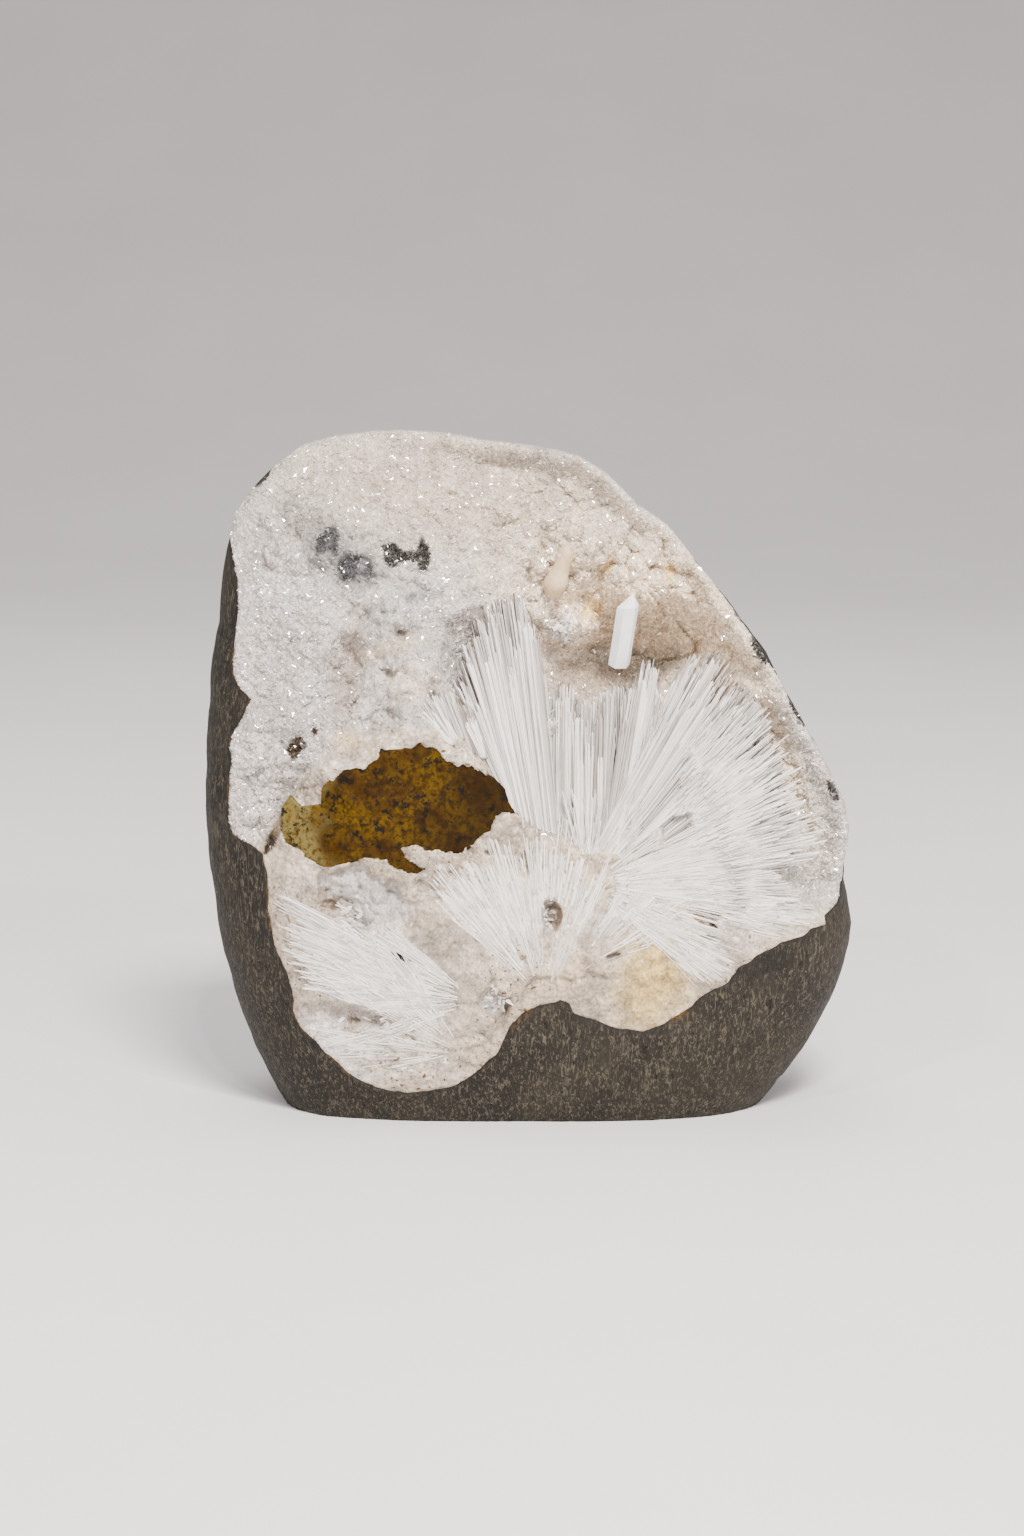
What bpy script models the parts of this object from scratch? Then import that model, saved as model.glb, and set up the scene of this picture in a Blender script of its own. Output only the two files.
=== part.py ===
"""Scolecite geode: a ground block of basalt, open in front and lined with one crust of pale crystals.

The block stands on a flat base. X runs along its face, -Y is the side that the open face looks to,
and z = 0 is the base. Outlines are written in millimetres, as real sizes seen square to the face,
and turned into metres where the meshes are made.
"""

import math

import bmesh
import bpy
import numpy as np
from mathutils import Matrix, Vector, noise
from mathutils.geometry import delaunay_2d_cdt

MM = 0.001

# Driving dimensions, in millimetres
FRONT_DEPTH = 33.0
BACK_DEPTH = 33.0
FRONT_SQUARENESS = 3.2
RIM_SQUARENESS = 6.0
BACK_SQUARENESS = 2.5
LEAN = 0.09
BACK_LEAN = 0.15
LEAN_FROM = 40.0
BACK_UNEVEN = 0.8
CENTRE = (0.5, 60.0)
GAP = 0.3
RIM_THICKNESS = 3.5
FILL_DEPTH = 15.0
BED_DEPTH = 39.0
DRUSE_STEP = 1.2
SECTIONS = 96
CRUST_STEP = 3.0
BED_STEP = 7.5

# Outline of the ground block, as if it went on below the base
BODY_OUTLINE = (
    (63.2, 34.5), (62.4, 39.0), (61.4, 43.5), (61.4, 49.0), (62.0, 55.0), (60.8, 61.2), (58.2, 66.8),
    (54.0, 75.0), (50.4, 81.6), (47.0, 88.6), (41.8, 95.2), (37.2, 101.6), (32.6, 107.4), (27.0, 114.2),
    (21.4, 118.0), (14.4, 124.6), (9.4, 127.4), (2.0, 128.8), (-8.0, 130.0), (-18.0, 131.4),
    (-27.4, 131.6), (-38.6, 130.2), (-47.0, 126.6), (-52.4, 122.4), (-56.6, 116.8), (-58.8, 109.4),
    (-60.2, 94.0), (-61.9, 78.0), (-62.8, 66.0), (-62.5, 52.0), (-61.5, 41.0), (-58.5, 24.5),
    (-54.5, 12.5), (-50.5, 3.6), (-44.0, -7.0), (-30.0, -13.5), (0.0, -15.5), (28.0, -13.5),
    (41.0, -6.0), (49.2, 3.6), (55.0, 11.5), (59.5, 20.0), (62.0, 27.5),
)

# Outline of the rock behind the crust: inside the block's outline where the crust makes the rim
ROCK_INSET_TOP = 1.9
ROCK_INSET_SIDE = 1.2

# Edge of the pale crust on the face
CRUST_OUTLINE = (
    (59.6, 43.6), (59.0, 41.0), (56.0, 39.4), (56.4, 37.6), (53.4, 37.2), (51.8, 36.0), (47.5, 35.1),
    (43.2, 32.9), (39.5, 30.7), (37.4, 27.9), (33.6, 26.0), (29.3, 22.7), (25.5, 20.2), (21.7, 18.6),
    (16.3, 19.4), (12.4, 21.1), (8.3, 22.4), (7.6, 24.2), (5.9, 24.9), (1.9, 23.8), (-1.5, 22.1),
    (-3.6, 19.9), (-4.5, 17.6), (-5.9, 14.5), (-8.6, 12.0), (-11.7, 9.3), (-14.6, 7.6), (-19.3, 6.6),
    (-24.3, 6.2), (-29.2, 7.0), (-33.5, 9.3), (-35.8, 11.5), (-38.6, 13.5), (-40.7, 16.0),
    (-43.4, 18.8), (-44.7, 21.5), (-44.7, 25.4), (-45.7, 28.9), (-47.5, 32.7), (-48.6, 37.5),
    (-49.3, 43.1), (-49.4, 48.6), (-50.2, 51.7), (-52.2, 53.0), (-56.3, 54.6), (-57.0, 57.4),
    (-56.2, 69.0), (-56.8, 71.3), (-56.4, 73.2), (-54.4, 76.8), (-53.5, 79.2), (-52.6, 80.7),
    (-55.2, 82.8), (-56.2, 84.9), (-56.4, 88.4), (-55.8, 92.4), (-55.2, 97.4), (-55.4, 102.8),
    (-56.3, 107.3), (-57.2, 111.0), (-55.6, 116.0), (-52.0, 120.4), (-48.2, 124.2), (-43.6, 127.6),
    (-38.2, 129.2), (-27.3, 130.6), (-18.0, 130.4), (-8.0, 129.0), (2.0, 127.8), (9.0, 126.4),
    (13.8, 123.7), (20.6, 117.2), (26.3, 113.4), (31.6, 106.6), (36.2, 100.9), (40.8, 94.6),
    (45.6, 87.6), (49.2, 81.0), (53.0, 74.3), (57.2, 66.3), (59.8, 60.8), (60.9, 54.8), (60.3, 48.8),
)

# Hollows in the crust, each (x, z, half width, half height, turn in degrees, depth)
HOLLOWS = (
    (20.0, 88.0, 25.0, 17.0, 0.0, 26.0),
    (16.0, 69.0, 15.0, 17.0, 0.0, 10.0),
    (19.0, 97.0, 30.0, 19.0, -20.0, 10.0),
    (-9.5, 88.0, 9.0, 12.0, 0.0, 13.0),
    (-4.0, 77.0, 8.0, 20.0, 12.0, 4.5),
    (48.5, 66.0, 5.6, 25.0, 18.0, 10.0),
    (-34.0, 86.0, 5.5, 10.0, -10.0, 4.5),
    (-42.5, 62.0, 7.0, 7.0, 0.0, 3.5),
    (-34.0, 40.5, 8.0, 4.0, -10.0, 1.0),
)

# The big fan of needles: ground flush with the face near its centre, lower and open round its edge
FAN_CENTRE = (11.0, 47.0)
FAN_GROUND = 30.0
FAN_REACH = 43.0
FAN_DROP = 6.0

# Rounded lumps on the crust, each (x, z, radius, height)
LUMPS = (
    (-24.0, 93.0, 12.0, 3.0), (-31.5, 75.0, 9.0, 1.6), (-22.0, 79.0, 9.0, 2.2), (-50.0, 66.0, 6.0, 1.6),
    (-50.0, 74.0, 5.0, 1.4), (23.0, 102.5, 9.5, 6.5), (32.0, 97.0, 7.0, 4.0), (11.0, 108.5, 7.0, 4.0),
    (9.5, 93.0, 6.0, 8.5), (38.0, 90.0, 6.0, 4.0), (2.0, 115.0, 7.0, 1.4), (-12.0, 120.0, 9.0, 1.2),
    (-40.0, 112.0, 9.0, 1.2), (22.0, 113.0, 6.0, 2.0),
)

# Sheaves of needles: root line, tip line, number of rods, half width, root and tip depth behind the face
SHEAVES = (
    ("tall", ((-2.0, 60.0), (5.5, 57.5)),
     ((-16.5, 79.0), (-13.1, 85.8), (-11.4, 91.0), (-9.2, 97.7), (-5.8, 100.0), (-2.0, 101.3), (0.6, 94.0)),
     16, 1.05, 4.0, 4.0),
    ("stub", ((-13.0, 66.5), (-8.0, 66.5)),
     ((-20.2, 78.0), (-17.6, 85.0), (-14.8, 83.0), (-12.0, 78.0)), 6, 1.15, 3.0, 2.6),
    ("middle", ((5.0, 54.0), (15.5, 54.0)),
     ((6.4, 85.0), (8.4, 80.6), (12.6, 80.4), (15.9, 83.0), (19.0, 84.0)), 12, 1.0, 3.5, 7.0),
    ("pointed", ((17.0, 54.0), (21.5, 54.5)),
     ((18.6, 82.0), (22.4, 89.0), (23.6, 86.0), (24.2, 79.0)), 7, 1.05, 3.0, 3.5),
    ("fan", ((20.5, 66.0), (28.5, 60.0), (31.5, 49.0)),
     ((25.1, 76.4), (32.0, 89.3), (37.7, 88.9), (41.4, 82.7), (44.6, 78.5), (46.8, 71.0), (49.2, 62.0),
      (50.4, 55.0), (49.2, 49.0)), 24, 1.4, 5.0, 3.6),
)

# The one thick prism of clear white crystal, and the rounded finger beside it
PRISM_FOOT = (16.2, 85.4)
PRISM_TIP = (19.1, 100.4)
PRISM_HALF_WIDTH = 2.3
PRISM_STANDS_OUT = 14.0
FINGER_ENDS = ((7.4, 106.8), (4.6, 100.6))
FINGER_RADIUS = 1.95
FINGER_SUNK = 0.6

# The olive-brown window in the crust
OLIVE_OUTLINE = (
    (-46.6, 60.4), (-44.9, 62.9), (-42.7, 60.8), (-39.0, 61.4), (-38.9, 64.4), (-37.0, 66.6),
    (-35.2, 68.9), (-31.2, 68.9), (-28.6, 70.6), (-28.4, 72.8), (-24.6, 72.3), (-21.9, 72.6),
    (-20.5, 73.7), (-17.2, 72.5), (-15.2, 70.3), (-13.8, 69.3), (-10.5, 69.4), (-6.6, 66.9),
    (-4.5, 64.8), (-3.8, 62.2), (-2.6, 60.4), (-6.2, 59.6), (-7.3, 57.0), (-9.9, 54.6), (-12.5, 52.7),
    (-16.5, 53.0), (-19.3, 53.0), (-21.2, 54.0), (-23.6, 53.6), (-22.2, 51.6), (-18.6, 50.1),
    (-20.0, 48.4), (-22.6, 48.7), (-25.2, 49.5), (-26.9, 50.9), (-29.9, 51.4), (-32.3, 51.1),
    (-35.3, 50.1), (-38.6, 49.8), (-41.3, 50.9), (-43.7, 52.8), (-46.3, 54.3), (-46.5, 57.7),
)
OLIVE_SUNK = 0.7
OLIVE_THICKNESS = 1.8


def polar(points):
    """Angles round CENTRE and radii of an outline, sorted by angle."""
    offset = np.array(points) - np.array(CENTRE)
    angle = np.arctan2(offset[:, 1], offset[:, 0])
    radius = np.hypot(offset[:, 0], offset[:, 1])
    order = np.argsort(angle)
    return angle[order], radius[order]


BODY_POLAR = polar(BODY_OUTLINE)
CRUST_POLAR = polar(CRUST_OUTLINE)


def radius_at(outline, angle):
    """Radius of a polar outline in a direction."""
    return float(np.interp(angle, *outline, period=2 * math.pi))


def direction(x, z):
    return math.atan2(z - CENTRE[1], x - CENTRE[0])


def distance(x, z):
    return math.hypot(x - CENTRE[0], z - CENTRE[1])


def smooth_step(low, high, value):
    share = min(1.0, max(0.0, (value - low) / (high - low)))
    return share * share * (3 - 2 * share)


def uneven(x, z, layer):
    """A number between about -1 and 1 that differs from place to place."""
    return noise.noise(Vector((x * 1.7, z * 1.3, layer)))


def rounded(share, depth, squareness):
    """Depth of a face that is flat in the middle and rounds away to its sides."""
    return depth * (1 - min(1.0, share) ** squareness) ** (1 / squareness)


def squareness(angle):
    """How squarely the front turns into the sides: more so round the top and the upper right."""
    rim = smooth_step(-0.35, 0.05, angle) * (1 - smooth_step(1.3, 2.1, angle))
    return FRONT_SQUARENESS + (RIM_SQUARENESS - FRONT_SQUARENESS) * rim


def front_depth(z):
    return FRONT_DEPTH - LEAN * max(0.0, z - LEAN_FROM)


def back_depth(x, z):
    return BACK_DEPTH - BACK_LEAN * max(0.0, z - LEAN_FROM) + BACK_UNEVEN * uneven(x / 20, z / 20, 2.0)


def ground_face(x, z):
    """Y of the block's ground front."""
    angle = direction(x, z)
    share = min(0.995, distance(x, z) / radius_at(BODY_POLAR, angle))
    return -rounded(share, front_depth(z), squareness(angle))


def rock_radius(angle):
    """The rock keeps inside the crust's rim along the top and the upper right."""
    inset = ROCK_INSET_TOP * smooth_step(0.35, 0.9, math.sin(angle))
    if -0.25 < angle < 1.2:
        inset = max(inset, ROCK_INSET_SIDE * smooth_step(-0.25, -0.1, angle))
    return radius_at(BODY_POLAR, angle) - inset


def fan_drop(x, z):
    """How far the surface falls away round the edge of the big fan."""
    across, up = x - FAN_CENTRE[0], z - FAN_CENTRE[1]
    angle = math.degrees(math.atan2(up, across))
    sector = smooth_step(-15.0, 5.0, angle) * (1 - smooth_step(100.0, 120.0, angle))
    return FAN_DROP * sector * smooth_step(FAN_GROUND, FAN_REACH, math.hypot(across, up))


def hollow_depth(x, z):
    """How far the crust's hollows lie behind the ground face."""
    deepest = 0.0
    for hx, hz, half_x, half_z, turn, depth in HOLLOWS:
        c, s = math.cos(math.radians(turn)), math.sin(math.radians(turn))
        across = ((x - hx) * c + (z - hz) * s) / half_x
        along = ((z - hz) * c - (x - hx) * s) / half_z
        away = math.hypot(across, along)
        if away < 1:
            deepest = max(deepest, depth * (1 - away**2) ** 1.2)
    return max(deepest, fan_drop(x, z))


def lump_height(x, z):
    """How far the rounded lumps stand out."""
    total = 0.0
    for lx, lz, radius, height in LUMPS:
        away = math.hypot(x - lx, z - lz) / radius
        if away < 1:
            total += height * (1 - away**2) ** 1.5
    return total


def natural_share(x, z):
    """1 where the crust's own knobbly surface shows, 0 where the face is ground flat."""
    line = 74.0 + 0.10 * x
    return smooth_step(line - 7.0, line + 3.0, z)


def knobs(x, z):
    """Grape-like knobs of the natural crust, from 0 to 1."""
    near = noise.voronoi(Vector((x / 7.0, z / 7.0, 0.3)))[0][0]
    return 1.0 - min(1.0, near) ** 2


def crust_face(x, z):
    """Y of the crust's front surface."""
    natural = natural_share(x, z)
    rim = radius_at(CRUST_POLAR, direction(x, z)) - distance(x, z)
    inside = smooth_step(0.0, 5.0, rim)
    step = DRUSE_STEP * natural * inside
    relief = (lump_height(x, z) + 1.5 * natural * (knobs(x, z) - 0.5)) * inside
    return ground_face(x, z) + step + hollow_depth(x, z) * inside - relief


def bed(x, z):
    """Y of the crust's back, which lies in the rock."""
    angle = direction(x, z)
    edge = radius_at(CRUST_POLAR, angle)
    share = min(1.0, distance(x, z) / edge)
    rim_x = CENTRE[0] + edge * math.cos(angle)
    rim_z = CENTRE[1] + edge * math.sin(angle)
    rim_y = ground_face(rim_x, rim_z) + RIM_THICKNESS
    deep = FILL_DEPTH + (BED_DEPTH - FILL_DEPTH) * smooth_step(45.0, 72.0, z)
    fullness = (1 - share**4) ** 0.8
    return rim_y * (1 - fullness) + (ground_face(x, z) + deep) * fullness


def new_object(name, mesh, material=None):
    made = bpy.data.objects.new(name, mesh)
    bpy.context.scene.collection.objects.link(made)
    if material:
        mesh.materials.append(material)
    return made


def as_guide(made):
    """A cutter or a piece to be joined: it isn't a part of the object itself."""
    made.hide_render = True
    made.display_type = "WIRE"
    return made


def plain_material(name, colour, roughness):
    material = bpy.data.materials.new(name)
    material.use_nodes = True
    shader = material.node_tree.nodes["Principled BSDF"]
    shader.inputs["Base Color"].default_value = (*colour, 1.0)
    shader.inputs["Roughness"].default_value = roughness
    shader.inputs["Metallic"].default_value = 0.0
    return material


def ring_points(outline, inset):
    """Points of a polar outline at even angles, moved towards the centre."""
    points = []
    for i in range(SECTIONS):
        angle = 2 * math.pi * i / SECTIONS
        r = radius_at(outline, angle) - inset
        points.append((CENTRE[0] + r * math.cos(angle), CENTRE[1] + r * math.sin(angle)))
    return points


def grown(outline, by):
    """An outline moved outwards square to its own sides."""
    corners = np.array(outline)
    run = np.roll(corners, -1, axis=0) - corners
    square = np.column_stack((run[:, 1], -run[:, 0])) / np.hypot(run[:, 0], run[:, 1])[:, None]
    turning = (corners[:, 0] * np.roll(corners[:, 1], -1)).sum()
    turning -= (corners[:, 1] * np.roll(corners[:, 0], -1)).sum()
    square *= math.copysign(1.0, turning)
    both = square + np.roll(square, 1, axis=0)
    length = np.hypot(both[:, 0], both[:, 1])[:, None]
    mitre = np.clip(2 / length, 1.0, 2.0)
    return [tuple(p) for p in corners + both / length * by * mitre]


def triangulated(boundary, step, ringed):
    """The inside of a boundary as triangles: its own points, one ring inside them, a jittered grid."""
    corners = np.array(boundary)
    low, high = corners.min(axis=0), corners.max(axis=0)
    edges = [(i, (i + 1) % len(corners)) for i in range(len(corners))]
    starts, ends = corners, np.roll(corners, -1, axis=0)
    inner = []
    rows = int((high[1] - low[1]) / (step * 0.866)) + 1
    for row in range(rows):
        z = low[1] + row * step * 0.866
        x = low[0] + (step / 2 if row % 2 else 0.0)
        while x < high[0]:
            point = np.array((x + 0.3 * step * uneven(x, z, 4.0), z + 0.3 * step * uneven(x, z, 9.0)))
            run = ends - starts
            share = np.clip(((point - starts) * run).sum(axis=1) / (run**2).sum(axis=1), 0, 1)
            gap = np.hypot(*(point - starts - run * share[:, None]).T).min()
            crossing = (starts[:, 1] > point[1]) != (ends[:, 1] > point[1])
            slope = run[crossing, 0] / run[crossing, 1]
            hits = starts[crossing, 0] + (point[1] - starts[crossing, 1]) * slope
            if gap > (1.25 if ringed else 0.45) * step and (hits > point[0]).sum() % 2:
                inner.append(point)
            x += step
    towards = np.array(CENTRE) - corners
    reach = np.hypot(towards[:, 0], towards[:, 1])[:, None]
    ring = corners + towards / reach * 0.75 * step if ringed else corners[:0]
    points = [Vector(p) for p in [*corners, *ring, *inner]]
    verts, _, faces, *_ = delaunay_2d_cdt(points, edges, [], 1, 1e-6)
    if len(verts) != len(points):
        raise ValueError("the boundary crosses itself")
    return [tuple(v) for v in verts], [tuple(f) for f in faces]


def plate(name, boundary, front, back, front_step, back_step, widened=0.0, ringed=False):
    """A closed solid between two surfaces of one boundary, which may be widened after the meshing."""
    mesh = bmesh.new()
    rings = []
    for surface, step, ring in ((front, front_step, ringed), (back, back_step, False)):
        points, faces = triangulated(boundary, step, ring)
        places = [[x, surface(x, z), z] for x, z in points]
        for place in places[: len(boundary)]:
            angle = direction(place[0], place[2])
            place[0] += widened * math.cos(angle)
            place[2] += widened * math.sin(angle)
        verts = [mesh.verts.new((x * MM, y * MM, z * MM)) for x, y, z in places]
        for face in faces:
            mesh.faces.new([verts[i] for i in face])
        rings.append(verts[: len(boundary)])
    for i in range(len(boundary)):
        j = (i + 1) % len(boundary)
        mesh.faces.new((rings[0][i], rings[0][j], rings[1][j], rings[1][i]))
    bmesh.ops.recalc_face_normals(mesh, faces=mesh.faces)
    bmesh.ops.triangulate(mesh, faces=mesh.faces)
    data = bpy.data.meshes.new(name)
    mesh.to_mesh(data)
    mesh.free()
    return new_object(name, data)


def block_body():
    """The whole ground block, before the crust's bed and the base are cut."""
    mesh = bmesh.new()
    shares = (0.35, 0.62, 0.8, 0.91, 0.972, 0.995)
    layers = [(s, -1) for s in shares] + [(1.0, 0)] + [(s, 1) for s in reversed(shares)]
    rings = []
    for share, side in layers:
        ring = []
        for i in range(SECTIONS):
            angle = math.remainder(2 * math.pi * i / SECTIONS, 2 * math.pi)
            r = rock_radius(angle) * share
            x, z = CENTRE[0] + r * math.cos(angle), CENTRE[1] + r * math.sin(angle)
            if side < 0:
                y = -rounded(share, front_depth(z), squareness(angle))
            else:
                y = side * rounded(share, back_depth(x, z), BACK_SQUARENESS)
            ring.append(mesh.verts.new((x * MM, y * MM, z * MM)))
        rings.append(ring)
    for near, far in zip(rings, rings[1:]):
        for i in range(SECTIONS):
            j = (i + 1) % SECTIONS
            mesh.faces.new((near[i], near[j], far[j], far[i]))
    for ring, y in ((rings[0], -front_depth(CENTRE[1])), (rings[-1], back_depth(*CENTRE))):
        hub = mesh.verts.new((CENTRE[0] * MM, y * MM, CENTRE[1] * MM))
        for i in range(SECTIONS):
            mesh.faces.new((ring[i], ring[(i + 1) % SECTIONS], hub))
    cut = bmesh.ops.bisect_plane(
        mesh, geom=[*mesh.verts, *mesh.edges, *mesh.faces], plane_co=(0, 0, 0), plane_no=(0, 0, -1),
        clear_outer=True,
    )
    rim = [e for e in cut["geom_cut"] if isinstance(e, bmesh.types.BMEdge)]
    bmesh.ops.contextual_create(mesh, geom=rim)
    bmesh.ops.recalc_face_normals(mesh, faces=mesh.faces)
    data = bpy.data.meshes.new("basalt_block")
    mesh.to_mesh(data)
    mesh.free()
    return new_object("basalt_block", data)


def rod(name, foot, tip, half_width, roll, point_length, sides=6):
    """A straight crystal with flat sides and a slanting point."""
    foot, tip = Vector(foot), Vector(tip)
    run = tip - foot
    turn = run.to_track_quat("Z", "X") @ Matrix.Rotation(roll, 3, "Z").to_quaternion()
    mesh = bmesh.new()
    rings = []
    for height in (0.0, run.length - point_length):
        ring = []
        for i in range(sides):
            angle = 2 * math.pi * i / sides
            slant = 0.35 * half_width * math.cos(angle) if height else 0.0
            local = Vector((half_width * math.cos(angle), half_width * math.sin(angle), height + slant))
            ring.append(mesh.verts.new((foot + turn @ local) * MM))
        rings.append(ring)
    for i in range(sides):
        j = (i + 1) % sides
        mesh.faces.new((rings[0][i], rings[0][j], rings[1][j], rings[1][i]))
    apex = mesh.verts.new((foot + turn @ Vector((0.25 * half_width, 0, run.length))) * MM)
    for i in range(sides):
        mesh.faces.new((rings[1][i], rings[1][(i + 1) % sides], apex))
    mesh.faces.new(list(reversed(rings[0])))
    bmesh.ops.recalc_face_normals(mesh, faces=mesh.faces)
    data = bpy.data.meshes.new(name)
    mesh.to_mesh(data)
    mesh.free()
    return as_guide(new_object(name, data))


def along(line, share):
    """The point a share of the way along a line of points, each stretch taking an equal share."""
    at = share * (len(line) - 1)
    i = min(int(at), len(line) - 2)
    part = at - i
    return tuple(a + (b - a) * part for a, b in zip(line[i], line[i + 1]))


def sheaf_rods():
    """Every needle bundle of the scolecite sprays."""
    rods = []
    for name, roots, tips, count, half_width, root_depth, tip_depth in SHEAVES:
        for i in range(count):
            share = (i + 0.5) / count
            root_x, root_z = along(roots, share)
            tip_x, tip_z = along(tips, share)
            short = 0.12 * (0.5 + uneven(i, len(name), 0.7))
            tip_x += (root_x - tip_x) * short
            tip_z += (root_z - tip_z) * short
            lift = 0.9 * half_width * (1 if i % 2 else -1)
            foot = (root_x, ground_face(root_x, root_z) + root_depth + lift, root_z)
            end = (tip_x, ground_face(tip_x, tip_z) + tip_depth + lift, tip_z)
            width = half_width * (1.0 + 0.25 * uneven(i, len(name), 5.7))
            roll = 0.6 * uneven(i, len(name), 8.3)
            rods.append(rod(f"{name}_{i}", foot, end, width, roll, 2.4 * width))
    return rods


def prism_crystal():
    foot_y = crust_face(*PRISM_FOOT) + 1.0
    foot = (PRISM_FOOT[0], foot_y, PRISM_FOOT[1])
    tip = (PRISM_TIP[0], foot_y - PRISM_STANDS_OUT, PRISM_TIP[1])
    return rod("prism", foot, tip, PRISM_HALF_WIDTH, 0.3, 3.2)


def finger():
    """The rounded finger of chalcedony that hangs in the hollow."""
    (top_x, top_z), (low_x, low_z) = FINGER_ENDS
    mesh = bmesh.new()
    bmesh.ops.create_uvsphere(mesh, u_segments=10, v_segments=7, radius=FINGER_RADIUS * MM)
    long = math.hypot(top_x - low_x, top_z - low_z)
    for vert in mesh.verts:
        vert.co.z += math.copysign(long / 2 * MM, vert.co.z) if abs(vert.co.z) > 1e-6 else 0.0
    lean = math.atan2(top_x - low_x, top_z - low_z)
    mesh.transform(Matrix.Rotation(lean, 4, "Y"))
    middle_x, middle_z = (top_x + low_x) / 2, (top_z + low_z) / 2
    wall = crust_face(middle_x, middle_z)
    mesh.transform(Matrix.Translation(Vector((middle_x, wall - FINGER_SUNK, middle_z)) * MM))
    data = bpy.data.meshes.new("finger")
    mesh.to_mesh(data)
    mesh.free()
    return as_guide(new_object("finger", data))


def add_boolean(made, operation, other):
    modifier = made.modifiers.new(operation.lower(), "BOOLEAN")
    modifier.operation = operation
    modifier.solver = "EXACT"
    if isinstance(other, bpy.types.Collection):
        modifier.operand_type = "COLLECTION"
        modifier.collection = other
    else:
        modifier.object = other


def make_basalt():
    """The rock: the ground block with the crust's bed cut into its face."""
    block = block_body()
    block.name = "basalt_block"
    block.data.materials.append(plain_material("basalt", (0.075, 0.066, 0.056), 0.72))
    bed_cutter = plate(
        "bed_cutter",
        ring_points(CRUST_POLAR, GAP),
        lambda x, z: -60.0,
        lambda x, z: bed(x, z) + GAP,
        20.0,
        BED_STEP,
        widened=GAP,
    )
    add_boolean(block, "DIFFERENCE", as_guide(bed_cutter))
    return block


def make_olive():
    """The olive-brown window, set a little behind the ground face, and the pocket that holds it."""
    window = plate(
        "olive_window",
        list(OLIVE_OUTLINE),
        lambda x, z: ground_face(x, z) + OLIVE_SUNK,
        lambda x, z: ground_face(x, z) + OLIVE_SUNK + OLIVE_THICKNESS,
        5.0,
        5.0,
    )
    window.data.materials.append(plain_material("olive", (0.13, 0.085, 0.012), 0.3))
    pocket = plate(
        "olive_pocket",
        grown(OLIVE_OUTLINE, GAP),
        lambda x, z: -50.0,
        lambda x, z: ground_face(x, z) + OLIVE_SUNK + OLIVE_THICKNESS + GAP,
        20.0,
        4.0,
    )
    return as_guide(pocket)


def make_crust(pocket):
    """The crust with every crystal that grew from it, as one solid."""
    crust = plate(
        "crystal_crust", ring_points(CRUST_POLAR, GAP), crust_face, bed, CRUST_STEP, BED_STEP,
        ringed=True,
    )
    crust.data.materials.append(plain_material("crystal", (0.78, 0.75, 0.71), 0.4))
    grown = bpy.data.collections.new("grown_crystals")
    for crystal in [*sheaf_rods(), prism_crystal(), finger()]:
        grown.objects.link(crystal)
    add_boolean(crust, "UNION", grown)
    add_boolean(crust, "DIFFERENCE", pocket)
    return crust


def main():
    for made in list(bpy.data.objects):
        bpy.data.objects.remove(made)
    make_basalt()
    make_crust(make_olive())


main()
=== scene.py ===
"""Scolecite geode: the looks of a ground basalt block lined with druse and scolecite needles.

Lengths are in millimetres until a mesh is made, and the stage is in metres. The outlines are those
of the solids. Some hollows and lumps differ from the solids', and the prism stands 12 to 19 mm in
front of the one in the solids.
"""

import math

import bpy
import numpy as np
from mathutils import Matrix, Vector
from mathutils.geometry import delaunay_2d_cdt


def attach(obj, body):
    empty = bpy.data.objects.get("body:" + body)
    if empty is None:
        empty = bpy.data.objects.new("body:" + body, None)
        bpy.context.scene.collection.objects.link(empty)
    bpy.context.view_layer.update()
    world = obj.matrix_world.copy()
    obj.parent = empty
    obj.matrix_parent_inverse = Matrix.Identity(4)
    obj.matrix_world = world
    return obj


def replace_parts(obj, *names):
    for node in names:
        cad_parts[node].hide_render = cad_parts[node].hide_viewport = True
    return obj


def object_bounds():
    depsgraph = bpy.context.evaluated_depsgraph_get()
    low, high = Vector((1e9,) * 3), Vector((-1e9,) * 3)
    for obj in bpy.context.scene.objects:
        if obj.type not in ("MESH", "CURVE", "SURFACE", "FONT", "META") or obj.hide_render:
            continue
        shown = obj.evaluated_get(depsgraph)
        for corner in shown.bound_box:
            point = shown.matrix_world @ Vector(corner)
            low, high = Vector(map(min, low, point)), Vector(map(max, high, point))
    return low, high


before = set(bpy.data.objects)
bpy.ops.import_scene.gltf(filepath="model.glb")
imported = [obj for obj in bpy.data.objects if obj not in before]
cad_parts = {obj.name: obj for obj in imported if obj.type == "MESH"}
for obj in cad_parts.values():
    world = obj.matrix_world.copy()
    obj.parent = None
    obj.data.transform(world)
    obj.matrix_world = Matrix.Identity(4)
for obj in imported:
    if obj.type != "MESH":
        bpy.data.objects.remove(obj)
cad_low, cad_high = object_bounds()

# The solids' own sizes, in millimetres
BUILT_HEIGHT = 130.38
UNIT = (cad_high.z - cad_low.z) / BUILT_HEIGHT
FRONT_DEPTH = 33.0
BACK_DEPTH = 33.0
FRONT_SQUARENESS = 3.2
RIM_SQUARENESS = 6.0
BACK_SQUARENESS = 2.5
LEAN = 0.09
BACK_LEAN = 0.15
LEAN_FROM = 40.0
CENTRE = (0.5, 60.0)
RIM_THICKNESS = 3.5
FILL_DEPTH = 15.0
BED_DEPTH = 39.0
ROCK_INSET_TOP = 1.9
ROCK_INSET_SIDE = 1.2

# The gap between the rock and the minerals set in it
GAP = 0.3

# How far the druse lies behind the ground face, 0.7 mm more than in the solids
DRUSE_STEP = 1.9

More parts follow.
